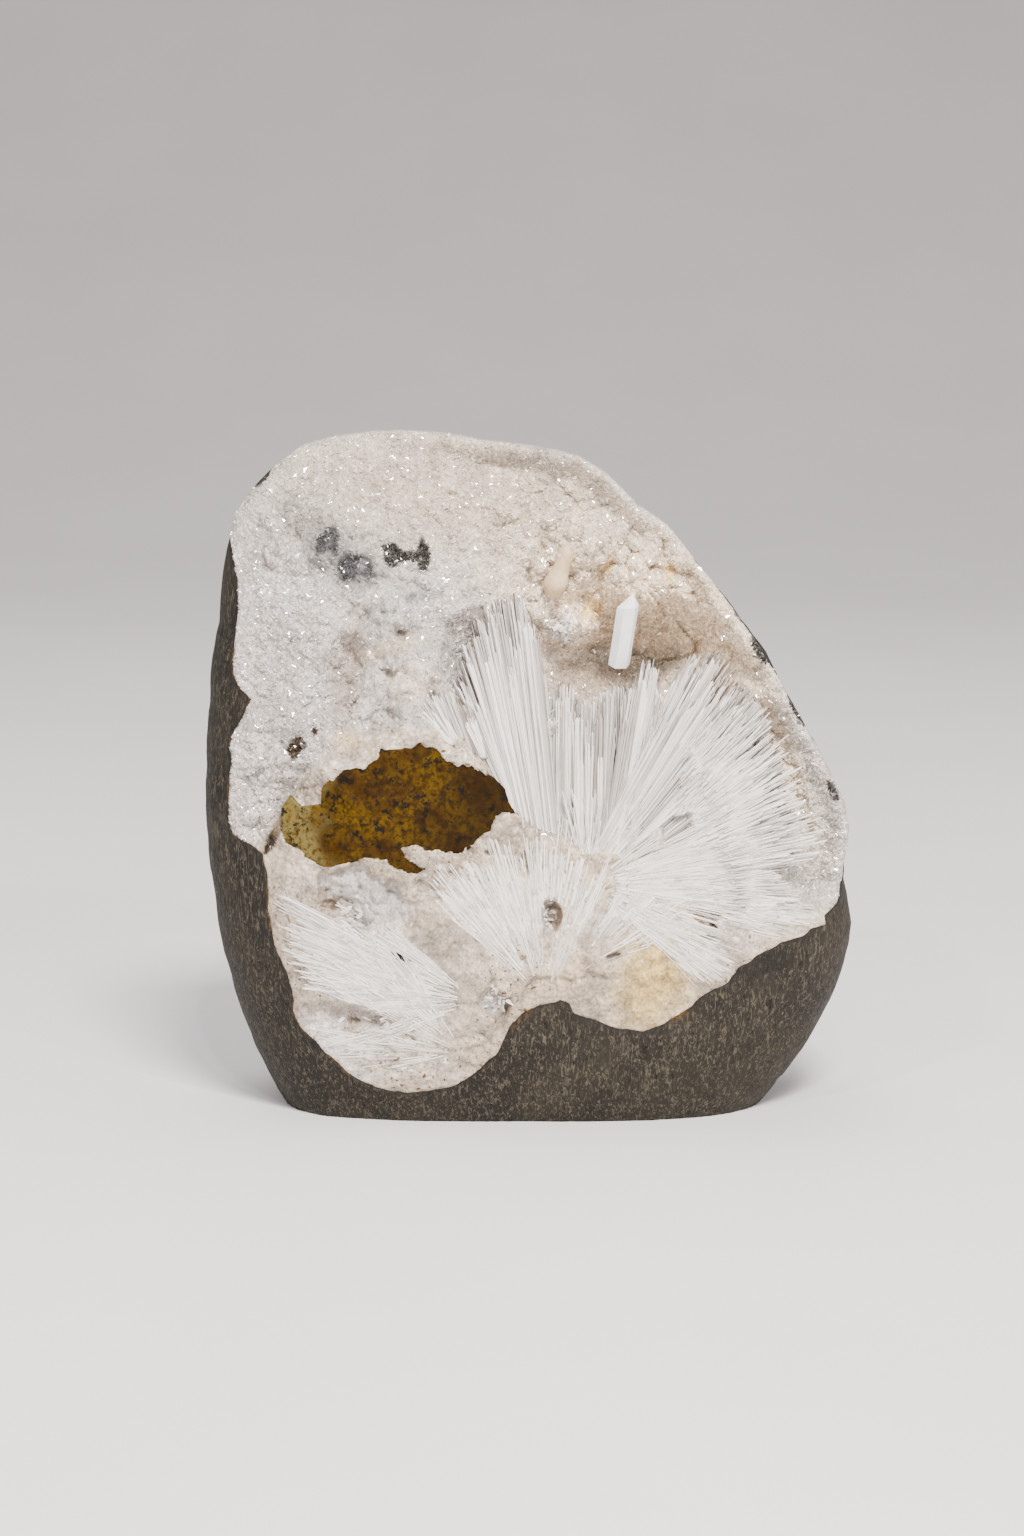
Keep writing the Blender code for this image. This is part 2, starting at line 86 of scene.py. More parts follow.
# Outline of the ground block, as if it went on below the base
BODY_OUTLINE = (
    (63.2, 34.5), (62.4, 39.0), (61.4, 43.5), (61.4, 49.0), (62.0, 55.0), (60.8, 61.2), (58.2, 66.8),
    (54.0, 75.0), (50.4, 81.6), (47.0, 88.6), (41.8, 95.2), (37.2, 101.6), (32.6, 107.4), (27.0, 114.2),
    (21.4, 118.0), (14.4, 124.6), (9.4, 127.4), (2.0, 128.8), (-8.0, 130.0), (-18.0, 131.4),
    (-27.4, 131.6), (-38.6, 130.2), (-47.0, 126.6), (-52.4, 122.4), (-56.6, 116.8), (-58.8, 109.4),
    (-60.2, 94.0), (-61.9, 78.0), (-62.8, 66.0), (-62.5, 52.0), (-61.5, 41.0), (-58.5, 24.5),
    (-54.5, 12.5), (-50.5, 3.6), (-44.0, -7.0), (-30.0, -13.5), (0.0, -15.5), (28.0, -13.5),
    (41.0, -6.0), (49.2, 3.6), (55.0, 11.5), (59.5, 20.0), (62.0, 27.5),
)

# Edge of the pale crust on the face
CRUST_OUTLINE = (
    (59.6, 43.6), (59.0, 41.0), (56.0, 39.4), (56.4, 37.6), (53.4, 37.2), (51.8, 36.0), (47.5, 35.1),
    (43.2, 32.9), (39.5, 30.7), (37.4, 27.9), (33.6, 26.0), (29.3, 22.7), (25.5, 20.2), (21.7, 18.6),
    (16.3, 19.4), (12.4, 21.1), (8.3, 22.4), (7.6, 24.2), (5.9, 24.9), (1.9, 23.8), (-1.5, 22.1),
    (-3.6, 19.9), (-4.5, 17.6), (-5.9, 14.5), (-8.6, 12.0), (-11.7, 9.3), (-14.6, 7.6), (-19.3, 6.6),
    (-24.3, 6.2), (-29.2, 7.0), (-33.5, 9.3), (-35.8, 11.5), (-38.6, 13.5), (-40.7, 16.0),
    (-43.4, 18.8), (-44.7, 21.5), (-44.7, 25.4), (-45.7, 28.9), (-47.5, 32.7), (-48.6, 37.5),
    (-49.3, 43.1), (-49.4, 48.6), (-50.2, 51.7), (-52.2, 53.0), (-56.3, 54.6), (-57.0, 57.4),
    (-56.2, 69.0), (-56.8, 71.3), (-56.4, 73.2), (-54.4, 76.8), (-53.5, 79.2), (-52.6, 80.7),
    (-55.2, 82.8), (-56.2, 84.9), (-56.4, 88.4), (-55.8, 92.4), (-55.2, 97.4), (-55.4, 102.8),
    (-56.3, 107.3), (-57.2, 111.0), (-55.6, 116.0), (-52.0, 120.4), (-48.2, 124.2), (-43.6, 127.6),
    (-38.2, 129.2), (-27.3, 130.6), (-18.0, 130.4), (-8.0, 129.0), (2.0, 127.8), (9.0, 126.4),
    (13.8, 123.7), (20.6, 117.2), (26.3, 113.4), (31.6, 106.6), (36.2, 100.9), (40.8, 94.6),
    (45.6, 87.6), (49.2, 81.0), (53.0, 74.3), (57.2, 66.3), (59.8, 60.8), (60.9, 54.8), (60.3, 48.8),
)

# Hollows in the crust, each (x, z, half width, half height, turn in degrees, depth)
HOLLOWS = (
    (20.0, 88.0, 25.0, 17.0, 0.0, 26.0),
    (16.0, 69.0, 15.0, 17.0, 0.0, 10.0),
    (19.0, 97.0, 30.0, 19.0, -20.0, 10.0),
    (-9.5, 88.0, 9.0, 12.0, 0.0, 9.0),
    (-4.0, 77.0, 8.0, 20.0, 12.0, 4.5),
    (48.5, 66.0, 5.6, 25.0, 18.0, 10.0),
    (-34.0, 86.0, 5.5, 10.0, -10.0, 4.5),
    (-25.0, 87.0, 17.0, 18.0, 8.0, 2.8),
    (-42.5, 62.0, 7.0, 7.0, 0.0, 3.5),
    (-34.0, 40.5, 8.0, 4.0, -10.0, 1.0),
)

# The big fan of needles: ground flush with the face near its centre, lower and open round its edge
FAN_CENTRE = (11.0, 47.0)
FAN_GROUND = 30.0
FAN_REACH = 43.0
FAN_DROP = 6.0

# Rounded lumps on the crust, each (x, z, radius, height)
LUMPS = (
    (-26.0, 95.0, 9.0, 3.0), (-22.0, 86.5, 6.5, 3.0), (-29.0, 84.5, 5.5, 2.2), (-31.5, 75.0, 9.0, 1.6),
    (-21.0, 78.0, 7.0, 2.6), (-44.0, 78.0, 6.0, 1.6), (-51.5, 59.5, 4.0, 1.8), (-50.0, 66.0, 6.0, 1.6),
    (-50.0, 74.0, 5.0, 1.4), (23.0, 102.5, 9.5, 6.5), (32.0, 97.0, 7.0, 4.0), (11.0, 108.5, 7.0, 4.0),
    (9.5, 93.0, 6.0, 8.5), (38.0, 90.0, 6.0, 4.0), (2.0, 115.0, 7.0, 1.4), (-12.0, 120.0, 9.0, 1.2),
    (-40.0, 112.0, 9.0, 1.2), (22.0, 113.0, 6.0, 2.0),
)

# The ground face ends and the crust's own druse begins along this line, from left to right
NATURAL_EDGE = (
    (-60.0, 52.0), (-50.0, 54.0), (-46.0, 60.0), (-41.0, 68.0), (-34.0, 73.0), (-24.0, 76.0),
    (-14.0, 76.0), (-8.0, 70.0), (-3.0, 62.0), (4.0, 56.0), (22.0, 55.0), (26.0, 66.0), (30.0, 75.0),
    (36.0, 73.0), (41.0, 67.0), (45.5, 58.0), (47.5, 48.0), (53.0, 42.0), (61.0, 38.0),
)

# Where needles were ground flush with the face: (x, z, from degrees, to degrees, reach)
GROUND_FANS = (
    (11.0, 47.0, -42.0, 118.0, 44.0),
    (3.0, 25.0, 62.0, 138.0, 26.0),
    (-9.6, 24.7, 138.0, 205.0, 34.0),
    (-12.0, 14.5, 120.0, 200.0, 26.0),
    (8.0, 30.0, 20.0, 62.0, 18.0),
)

# Sheaves of needles: root line, tip line, clumps, needles in each, thickness, layers' depth, root and
# tip depth behind the face
SHEAVES = (
    ("tall", ((-5.0, 63.0), (0.0, 58.0), (5.8, 56.0)),
     ((-17.2, 78.0), (-14.2, 84.0), (-12.4, 89.0), (-10.2, 95.0), (-8.6, 98.6), (-5.6, 100.2),
      (-2.0, 101.4), (-0.6, 97.0), (1.6, 90.0)), 120, 12, 0.17, 4.2, 1.2, 2.2),
    ("stub", ((-14.5, 73.0), (-8.0, 70.5)),
     ((-20.6, 77.0), (-19.0, 84.6), (-15.8, 83.6), (-12.6, 80.0), (-11.0, 76.0)),
     40, 10, 0.24, 1.6, 1.0, 1.0),
    ("middle", ((3.0, 53.0), (10.0, 50.0), (18.0, 51.0)),
     ((3.6, 78.0), (6.4, 85.2), (8.4, 81.0), (12.6, 80.6), (15.9, 83.4), (19.4, 84.2)),
     92, 11, 0.19, 5.5, 0.9, 3.2),
    ("pointed", ((13.0, 50.0), (20.0, 52.0)),
     ((18.6, 81.0), (22.5, 89.2), (24.0, 86.0), (24.6, 79.0)), 46, 11, 0.17, 3.5, 0.8, 1.6),
    ("fan", ((10.0, 50.0), (15.0, 44.0)),
     ((25.1, 76.4), (28.4, 84.0), (32.0, 89.6), (37.7, 89.3), (41.6, 83.4), (45.0, 79.0), (47.4, 71.5),
      (49.8, 62.0), (50.6, 55.0), (49.2, 48.0)), 230, 12, 0.19, 4.0, 0.7, 1.3),
)

# Tangled broken needles: (x, z, spread, count, needle length, mean direction in degrees, its spread)
SHARDS = (
    (3.4, 77.0, 1.8, 46, 4.0, 60.0, 50.0), (-14.0, 79.0, 2.4, 60, 4.0, 115.0, 30.0),
    (25.5, 58.5, 2.2, 30, 2.6, 60.0, 70.0), (6.2, 93.6, 3.0, 90, 2.6, 80.0, 90.0),
    (16.8, 104.6, 1.2, 9, 2.8, 70.0, 25.0), (8.5, 60.5, 3.4, 40, 4.0, 95.0, 30.0),
    (34.0, 41.0, 2.0, 26, 2.4, 30.0, 80.0), (-33.0, 39.6, 4.0, 46, 3.6, -20.0, 30.0),
    (3.6, 40.8, 2.4, 24, 2.6, 80.0, 60.0), (-6.0, 24.6, 2.6, 40, 2.4, 120.0, 80.0),
    (-27.0, 16.6, 5.0, 40, 4.0, 175.0, 18.0), (0.0, 66.0, 3.0, 40, 4.0, 100.0, 35.0),
)

# The one thick white prism, which touches nothing, and the rounded finger beside it
PRISM_FOOT = (16.9, -22.0, 87.2)
PRISM_TIP = (18.7, -29.4, 101.6)
PRISM_HALF_WIDTH = 2.1
FINGER_ENDS = ((7.0, 107.6), (4.7, 101.2))
FINGER_RADIUS = 2.5
FINGER_STANDS_OUT = 2.3

# The olive-brown window in the crust
OLIVE_OUTLINE = (
    (-46.6, 60.4), (-44.9, 62.9), (-42.7, 60.8), (-39.0, 61.4), (-38.9, 64.4), (-37.0, 66.6),
    (-35.2, 68.9), (-31.2, 68.9), (-28.6, 70.6), (-28.4, 72.8), (-24.6, 72.3), (-21.9, 72.6),
    (-20.5, 73.7), (-17.2, 72.5), (-15.2, 70.3), (-13.8, 69.3), (-10.5, 69.4), (-6.6, 66.9),
    (-4.5, 64.8), (-3.8, 62.2), (-2.6, 60.4), (-6.2, 59.6), (-7.3, 57.0), (-9.9, 54.6), (-12.5, 52.7),
    (-16.5, 53.0), (-19.3, 53.0), (-21.2, 54.0), (-23.6, 53.6), (-22.2, 51.6), (-18.6, 50.1),
    (-20.0, 48.4), (-22.6, 48.7), (-25.2, 49.5), (-26.9, 50.9), (-29.9, 51.4), (-32.3, 51.1),
    (-35.3, 50.1), (-38.6, 49.8), (-41.3, 50.9), (-43.7, 52.8), (-46.3, 54.3), (-46.5, 57.7),
)
OLIVE_SUNK = 0.7
OLIVE_THICKNESS = 1.8

# Parts of the ground face where rounded mineral shows instead: (x, z, half width, half height, turn)
NATURAL_PATCHES = (
    (-31.0, 44.0, 10.5, 5.2, -14.0), (-33.0, 21.0, 9.0, 2.0, -8.0), (4.2, 40.2, 2.0, 4.0, 0.0),
    (27.5, 57.5, 3.4, 2.6, 10.0), (33.5, 41.0, 2.2, 2.8, 30.0), (-7.0, 24.5, 2.6, 2.6, 0.0),
    (56.5, 44.5, 3.5, 4.5, 0.0),
)

# How lumpy the natural crust is: (x, z, half width, half height, turn, strength)
LUMPY = (
    (-27.0, 86.0, 9.5, 16.0, 8.0, 1.0), (19.0, 99.0, 27.0, 17.0, -22.0, 1.2),
    (-50.0, 64.0, 9.0, 12.0, 0.0, 1.0), (48.5, 70.0, 7.0, 26.0, 18.0, 0.45),
    (0.0, 113.0, 18.0, 10.0, 0.0, 0.35), (-31.0, 44.0, 12.0, 7.0, -14.0, 0.8),
    (-22.5, 21.0, 8.0, 4.0, 0.0, 0.7),
)

# Quartz points: (name, count, smallest and largest size, tilt)
DRUSE = (("druse_fine", 34000, 0.35, 0.75, 0.3), ("druse_coarse", 22000, 0.6, 1.35, 0.4))

# Ground needles: how many are tried, and their usual half width
SILK_TRIED = 13000
SILK_HALF_WIDTH = 0.11

# Points in the mesh of one needle and of one quartz point
CRYSTAL_CORNERS = 13
POINT_CORNERS = 4

# How far crystals stay within the solids' box
BOX_MARGIN = 0.02

# Tones of the minerals, as linear red, green and blue. The last two are painted shade: the beige one for
# crevices, hollows and pits, and SHADE for the creases between the crust's mounds.
DRUSE_WHITE = (0.53, 0.475, 0.435)
DRUSE_CREAM = (0.52, 0.415, 0.315)
GROUND_WHITE = (0.70, 0.54, 0.37)
GROUND_GREY = (0.38, 0.30, 0.225)
PEARL = (0.66, 0.59, 0.53)
SILKY_WHITE = (0.95, 0.85, 0.765)
CREAM = (0.80, 0.64, 0.45)
YELLOW = (0.74, 0.49, 0.13)
GREY = (0.04, 0.037, 0.037)
ROCK_TONE = (0.018, 0.014, 0.009)
RUST = (0.035, 0.017, 0.005)
# Painted shade for crevices, hollows and pits
PAINTED_SHADE_BEIGE = (0.24, 0.165, 0.105)
SHADE = (0.34, 0.25, 0.18)

# Stains, windows and pits in the crust; beige ones are painted shade: (x, z, half width, half height, turn,
# strength, tone, depth)
STAINS = (
    (-14.0, 122.0, 34.0, 13.0, -4.0, 0.8, DRUSE_CREAM, 0.0),
    (-34.0, 86.0, 3.0, 11.0, -8.0, 0.5, PAINTED_SHADE_BEIGE, 0.0),
    (-26.0, 90.5, 6.0, 1.6, 20.0, 0.6, CREAM, 0.0),
    (-22.0, 84.0, 4.0, 4.0, 0.0, 0.45, CREAM, 0.0),
    (20.7, 97.0, 25.0, 16.0, -20.0, 0.85, CREAM, 0.0),
    (12.0, 82.5, 12.0, 3.0, 0.0, 0.7, PAINTED_SHADE_BEIGE, 0.0),
    (47.5, 69.0, 3.6, 22.0, 18.0, 0.5, CREAM, 0.0),
    (-38.0, 110.0, 8.5, 4.2, -40.0, 1.25, GREY, 0.0),
    (-32.0, 104.6, 4.6, 2.4, -10.0, 1.1, GREY, 0.0),
    (-20.5, 100.2, 2.4, 1.4, 0.0, 0.9, GREY, 0.0),
    (0.3, 126.0, 6.0, 2.6, 0.0, 0.4, GREY, 0.0),
    (-52.0, 103.0, 3.0, 2.0, 0.0, 0.25, GREY, 0.0),
    (-25.4, 108.0, 1.9, 2.3, 20.0, 1.0, ROCK_TONE, 0.5),
    (-19.8, 107.6, 1.3, 3.1, 0.0, 1.0, ROCK_TONE, 0.5),
    (-22.6, 107.6, 2.4, 1.0, 0.0, 1.0, ROCK_TONE, 0.5),
    (24.0, 31.0, 6.5, 11.0, -14.0, 0.75, YELLOW, 0.0),
    (31.0, 41.5, 4.0, 3.0, 0.0, 0.5, YELLOW, 0.0),
    (12.0, 96.5, 2.0, 1.6, 0.0, 0.6, YELLOW, 0.0),
    (15.2, 105.0, 1.6, 1.2, 0.0, 0.6, YELLOW, 0.0),
    (26.6, 104.0, 1.4, 1.6, 0.0, 0.6, YELLOW, 0.0),
    (-34.0, 73.5, 3.0, 2.0, 0.0, 0.35, YELLOW, 0.0),
    (29.8, 110.0, 1.3, 0.8, -50.0, 1.0, ROCK_TONE, 0.3),
    (39.7, 96.3, 0.8, 2.2, 35.0, 1.0, ROCK_TONE, 0.3),
    (43.7, 89.9, 1.6, 3.0, 30.0, 1.0, ROCK_TONE, 0.4),
    (50.6, 78.0, 0.8, 3.4, 28.0, 1.0, ROCK_TONE, 0.3),
    (57.6, 62.9, 0.8, 2.4, 25.0, 1.0, ROCK_TONE, 0.3),
    (-50.6, 121.6, 1.0, 2.6, -45.0, 1.0, ROCK_TONE, 0.3),
    (-43.8, 71.8, 1.7, 2.1, -25.0, 1.0, RUST, 0.5),
    (-40.3, 75.0, 0.5, 0.8, 0.0, 1.0, RUST, 0.3),
    (-48.3, 54.6, 0.9, 3.2, -28.0, 1.0, RUST, 0.6),
    (-24.2, 33.1, 2.1, 0.9, -10.0, 1.0, RUST, 1.2),
    (-37.2, 42.6, 2.0, 0.9, -20.0, 1.0, RUST, 1.6),
    (-33.0, 20.1, 1.5, 0.6, -5.0, 0.9, RUST, 0.9),
    (15.8, 33.3, 1.5, 0.7, 15.0, 0.9, RUST, 0.7),
    (34.6, 38.9, 0.5, 2.0, 40.0, 1.0, RUST, 0.5),
    (31.0, 43.0, 0.5, 1.8, -35.0, 0.8, RUST, 0.4),
    (-4.5, 23.4, 1.6, 1.6, 0.0, 0.8, RUST, 0.3),
    (-7.5, 53.0, 1.0, 0.5, 0.0, 0.9, RUST, 0.4),
    (2.0, 50.3, 1.0, 0.5, 0.0, 0.8, RUST, 0.4),
    (4.6, 41.0, 1.5, 2.6, 0.0, 0.9, PAINTED_SHADE_BEIGE, 1.4),
    (-33.6, 20.9, 5.5, 3.0, 0.0, 0.4, PAINTED_SHADE_BEIGE, 0.3),
    (-38.0, 43.0, 6.0, 2.2, -25.0, 0.6, PAINTED_SHADE_BEIGE, 0.8),
    (-47.0, 57.5, 2.2, 2.2, 0.0, 0.6, PAINTED_SHADE_BEIGE, 1.0),
    (-21.0, 50.0, 2.0, 1.1, 0.0, 0.9, GROUND_GREY, 0.0),
    (27.5, 57.0, 2.4, 2.4, 0.0, 0.6, PAINTED_SHADE_BEIGE, 1.2),
)

random = np.random.default_rng(7)


# Numbers that vary from place to place

def hashed(ix, iy, iz, seed):
    """A repeatable number from 0 to 1 for each lattice point."""
    mixed = (ix * 374761393 + iy * 668265263 + iz * 1440662683 + seed * 362437) & 0xFFFFFFFF
    mixed = ((mixed ^ (mixed >> 13)) * 1274126177) & 0xFFFFFFFF
    return ((mixed ^ (mixed >> 16)) & 0xFFFFFF) / 0xFFFFFF


def noise(x, y, z, size, seed=0):
    """Smooth noise from -1 to 1 whose lumps are about the given size."""
    parts, bases = [], []
    for axis in (x, y, z):
        scaled = np.asarray(axis, float) / size + 1000.37
        base = np.floor(scaled).astype(np.int64)
        part = scaled - base
        parts.append(part * part * (3 - 2 * part))
        bases.append(base)
    total = 0.0
    for corner in np.ndindex(2, 2, 2):
        weight = 1.0
        for side, part in zip(corner, parts):
            weight = weight * (part if side else 1 - part)
        total = total + weight * hashed(*(b + side for b, side in zip(bases, corner)), seed)
    return 2 * total - 1


def rough(x, y, z, size, seed=0, layers=3):
    """Noise with finer noise on it."""
    total, share = 0.0, 1.0
    for layer in range(layers):
        total = total + share * noise(x, y, z, size / 2**layer, seed + 11 * layer)
        share *= 0.5
    return total / (2 - 2 * share)


def noise_at(x, z, size, seed=0):
    return noise(x, 0 * x, z, size, seed)


def rough_at(x, z, size, seed=0):
    return rough(x, 0 * x, z, size, seed)


def cells(x, z, size, seed=0):
    """Distance to the nearest of many scattered points, in units of size, and that point's number."""
    across, up = np.asarray(x) / size, np.asarray(z) / size
    base_x, base_z = np.floor(across).astype(np.int64), np.floor(up).astype(np.int64)
    nearest = np.full(np.shape(across), 9.0)
    number = np.zeros(np.shape(across))
    for dx, dz in np.ndindex(3, 3):
        cell_x, cell_z = base_x + dx - 1, base_z + dz - 1
        point_x = cell_x + hashed(cell_x, cell_z, 0, seed)
        point_z = cell_z + hashed(cell_x, cell_z, 1, seed)
        away = np.hypot(across - point_x, up - point_z)
        closer = away < nearest
        number = np.where(closer, hashed(cell_x, cell_z, 2, seed), number)
        nearest = np.minimum(nearest, away)
    return nearest, number


def smooth_step(low, high, value):
    share = np.clip((value - low) / (high - low), 0, 1)
    return share * share * (3 - 2 * share)


def mix(a, b, share):
    return a + (b - a) * share


# The shape of the block and its crust

def polar(points):
    """Angles round CENTRE and radii of an outline, sorted by angle."""
    offset = np.array(points) - np.array(CENTRE)
    angle = np.arctan2(offset[:, 1], offset[:, 0])
    order = np.argsort(angle)
    return angle[order], np.hypot(offset[:, 0], offset[:, 1])[order]


BODY_POLAR = polar(BODY_OUTLINE)
CRUST_POLAR = polar(CRUST_OUTLINE)


def body_radius(angle):
    return np.interp(angle, *BODY_POLAR, period=2 * np.pi)


def crust_radius(angle):
    """The crust's edge, with the small teeth of its crystals."""
    plain = np.interp(angle, *CRUST_POLAR, period=2 * np.pi)
    x, z = CENTRE[0] + plain * np.cos(angle), CENTRE[1] + plain * np.sin(angle)
    teeth = rough_at(x, z, 2.2, 5)
    top = smooth_step(0.0, 0.5, np.sin(angle))
    return plain + 0.45 * teeth * (1 - 0.6 * top) - 0.45 * top


def crust_margin(x, z):
    """How far a place lies inside the crust's edge."""
    angle, radius = to_polar(x, z)
    return crust_radius(angle) - radius


def rock_radius(angle):
    """The rock keeps inside the crust's rim along the top and the upper right."""
    inset = ROCK_INSET_TOP * smooth_step(0.35, 0.9, np.sin(angle))
    side = ROCK_INSET_SIDE * smooth_step(-0.25, -0.1, angle) * (angle < 1.2)
    return body_radius(angle) - np.maximum(inset, side) - 0.12


def place(angle, radius):
    return CENTRE[0] + radius * np.cos(angle), CENTRE[1] + radius * np.sin(angle)


def to_polar(x, z):
    return np.arctan2(z - CENTRE[1], x - CENTRE[0]), np.hypot(x - CENTRE[0], z - CENTRE[1])


def squareness(angle):
    rim = smooth_step(-0.35, 0.05, angle) * (1 - smooth_step(1.3, 2.1, angle))
    return FRONT_SQUARENESS + (RIM_SQUARENESS - FRONT_SQUARENESS) * rim


def rounded(share, depth, power):
    return depth * (1 - np.minimum(1.0, share) ** power) ** (1 / power)


def front_depth(z):
    return FRONT_DEPTH - LEAN * np.maximum(0.0, z - LEAN_FROM)


def ground_face(x, z):
    """Y of the block's ground front."""
    angle, radius = to_polar(x, z)
    share = np.minimum(0.995, radius / body_radius(angle))
    return -rounded(share, front_depth(z), squareness(angle))


def elliptic(x, z, spot_x, spot_z, half_x, half_z, turn):
    """Distance from an ellipse's middle, 1 on the ellipse."""
    c, s = math.cos(math.radians(turn)), math.sin(math.radians(turn))
    across = ((x - spot_x) * c + (z - spot_z) * s) / half_x
    along = ((z - spot_z) * c - (x - spot_x) * s) / half_z
    return np.hypot(across, along)


def druse_share(x, z):
    """1 where the crust is covered with quartz points, 0 where the face is ground flat."""
    line = np.interp(x, *zip(*NATURAL_EDGE)) + 1.2 * noise_at(x, z, 5.0, 3)
    return smooth_step(-1.5, 2.5, z - line)


def natural_share(x, z):
    """1 where the crust's own rounded surface shows, with quartz points or without."""
    patches = np.zeros(np.shape(x))
    for patch in NATURAL_PATCHES:
        away = elliptic(x, z, *patch) + 0.55 * rough_at(x, z, 5.0, 4) + 0.5 * noise_at(x, z, 1.9, 6)
        patches = np.maximum(patches, 1 - smooth_step(0.5, 1.15, away))
    return np.maximum(druse_share(x, z), patches)


def fan_drop(x, z):
    """How far the surface falls away round the edge of the big fan."""
    across, up = x - FAN_CENTRE[0], z - FAN_CENTRE[1]
    angle = np.degrees(np.arctan2(up, across))
    sector = smooth_step(-15.0, 5.0, angle) * (1 - smooth_step(100.0, 120.0, angle))
    reach = np.hypot(across, up) + 2.2 * noise_at(x, z, 5.0, 23)
    return FAN_DROP * sector * smooth_step(FAN_GROUND, FAN_REACH, reach)


def hollow_depth(x, z):
    deepest = fan_drop(x, z)
    wander = 0.13 * noise_at(x, z, 6.0, 21) + 0.05 * noise_at(x, z, 2.0, 22)
    for hx, hz, half_x, half_z, turn, depth in HOLLOWS:
        away = np.minimum(1.0, elliptic(x, z, hx, hz, half_x, half_z, turn) * (1 + wander))
        deepest = np.maximum(deepest, depth * (1 - away**2) ** 1.2)
    return deepest


def lump_height(x, z):
    total = np.zeros(np.shape(x))
    for lx, lz, radius, height in LUMPS:
        away = np.minimum(1.0, np.hypot(x - lx, z - lz) / radius)
        total = total + height * (1 - away**2) ** 1.5
    return total


def outline_distance(x, z, outline):
    """Distance to a closed outline, negative inside it."""
    corners = np.array(outline)
    nearest = np.full(np.shape(x), 1e9)
    inside = np.zeros(np.shape(x), bool)
    for (ax, az), (bx, bz) in zip(corners, np.roll(corners, -1, axis=0)):
        run_x, run_z = bx - ax, bz - az
        share = np.clip(((x - ax) * run_x + (z - az) * run_z) / (run_x**2 + run_z**2), 0, 1)
        nearest = np.minimum(nearest, np.hypot(x - ax - share * run_x, z - az - share * run_z))
        if az != bz:
            inside ^= ((az > z) != (bz > z)) & (x < ax + (z - az) * run_x / run_z)
    return np.where(inside, -nearest, nearest)


def olive_distance(x, z):
    teeth = 0.45 + 0.5 * noise_at(x, z, 1.7, 41) + 0.3 * noise_at(x, z, 0.8, 42)
    return outline_distance(x, z, OLIVE_OUTLINE) + teeth


def mounds(x, z, size, seed):
    """Close-packed round mounds of many sizes, from 0 to 1, and how near each place is to a mound's top."""
    near, number = cells(x + 0.12 * size * noise_at(x, z, size, seed + 1), z, size, seed)
    cap = np.sqrt(np.clip(1 - (near / 0.82) ** 2, 0, 1))
    return cap * (0.4 + 0.6 * number), cap


def ground_nodules(x, z):
    """How near each place on the ground face is to the top of a big and of a small nodule."""
    return mounds(x, z, 3.6, 36)[1], mounds(x, z, 1.7, 37)[1]


def spots(x, z, table):
    """The greatest strength of the soft elliptical spots that a place lies in."""
    found = np.zeros(np.shape(x))
    for *ellipse, strength in table:
        found = np.maximum(found, strength * (1 - smooth_step(0.55, 1.1, elliptic(x, z, *ellipse))))
    return found


def relief(x, z):
    """Height of the natural crust's mounds, and how deep each place lies in the creases between them."""
    lumpy = 0.55 + spots(x, z, LUMPY)
    big, big_cap = mounds(x, z, 6.2, 7)
    middle, middle_cap = mounds(x, z, 2.7, 8)
    small, small_cap = mounds(x, z, 1.25, 9)
    height = lumpy * (2.5 * (big - 0.6) + 1.7 * (middle - 0.6)) + (0.7 + 0.25 * lumpy) * (small - 0.5)
    crease = 1 - (0.45 * big_cap + 0.35 * middle_cap + 0.2 * small_cap)
    return height + 0.4 * rough_at(x, z, 9.0, 30), crease * (0.6 + 0.4 * np.minimum(1, lumpy))


def pit_depth(x, z):
    """The small pits that the stains mark."""
    deepest = np.zeros(np.shape(x))
    for *ellipse, _, _, depth in STAINS:
        if depth:
            away = elliptic(x, z, *ellipse) + 0.25 * noise_at(x, z, 1.3, 82)
            deepest = np.maximum(deepest, depth * (1 - smooth_step(0.5, 1.15, away)))
    return deepest


def crust_front(x, z):
    """Y of the crust's front surface, with its lumps and grains."""
    natural = natural_share(x, z)
    inside = smooth_step(0.0, 5.0, crust_margin(x, z))
    height, _ = relief(x, z)
    silky, grain = fan_grain(x, z)
    grooves = rough(grain[..., 0], grain[..., 1], grain[..., 2], 0.7, 33)
    _, patch = cells(x + 0.8 * noise_at(x, z, 2.0, 34), z, 5.5, 35)
    nodule, bead = ground_nodules(x, z)
    flat = 0.07 * rough_at(x, z, 3.0, 31) + 0.14 * (patch - 1) * (1 - silky) + 0.10 * (grooves - 1) * silky
    flat = flat - (0.8 * (1 - nodule) ** 2 + 0.3 * (1 - bead) ** 2) * (1 - 0.8 * silky)
    hollow = hollow_depth(x, z) * inside
    rise = (lump_height(x, z) + height * natural) * mix(0.35, 1.0, inside) + flat * (1 - natural) * inside
    y = ground_face(x, z) + DRUSE_STEP * natural * mix(0.4, 1.0, inside) + hollow - rise
    y = np.maximum(y, ground_face(x, z) + 0.02) + pit_depth(x, z) * inside
    pocket = 1 - smooth_step(-0.35, 0.1, olive_distance(x, z))
    return mix(y, ground_face(x, z) + OLIVE_SUNK + OLIVE_THICKNESS + GAP, pocket)


def bed(x, z):
    """Y of the crust's back."""
    angle, radius = to_polar(x, z)
    edge = crust_radius(angle)
    share = np.minimum(1.0, radius / edge)
    rim_y = ground_face(*place(angle, edge)) + RIM_THICKNESS
    deep = FILL_DEPTH + (BED_DEPTH - FILL_DEPTH) * smooth_step(45.0, 72.0, z)
    fullness = (1 - share**4) ** 0.8
    return rim_y * (1 - fullness) + (ground_face(x, z) + deep) * fullness


# Colours over the crust

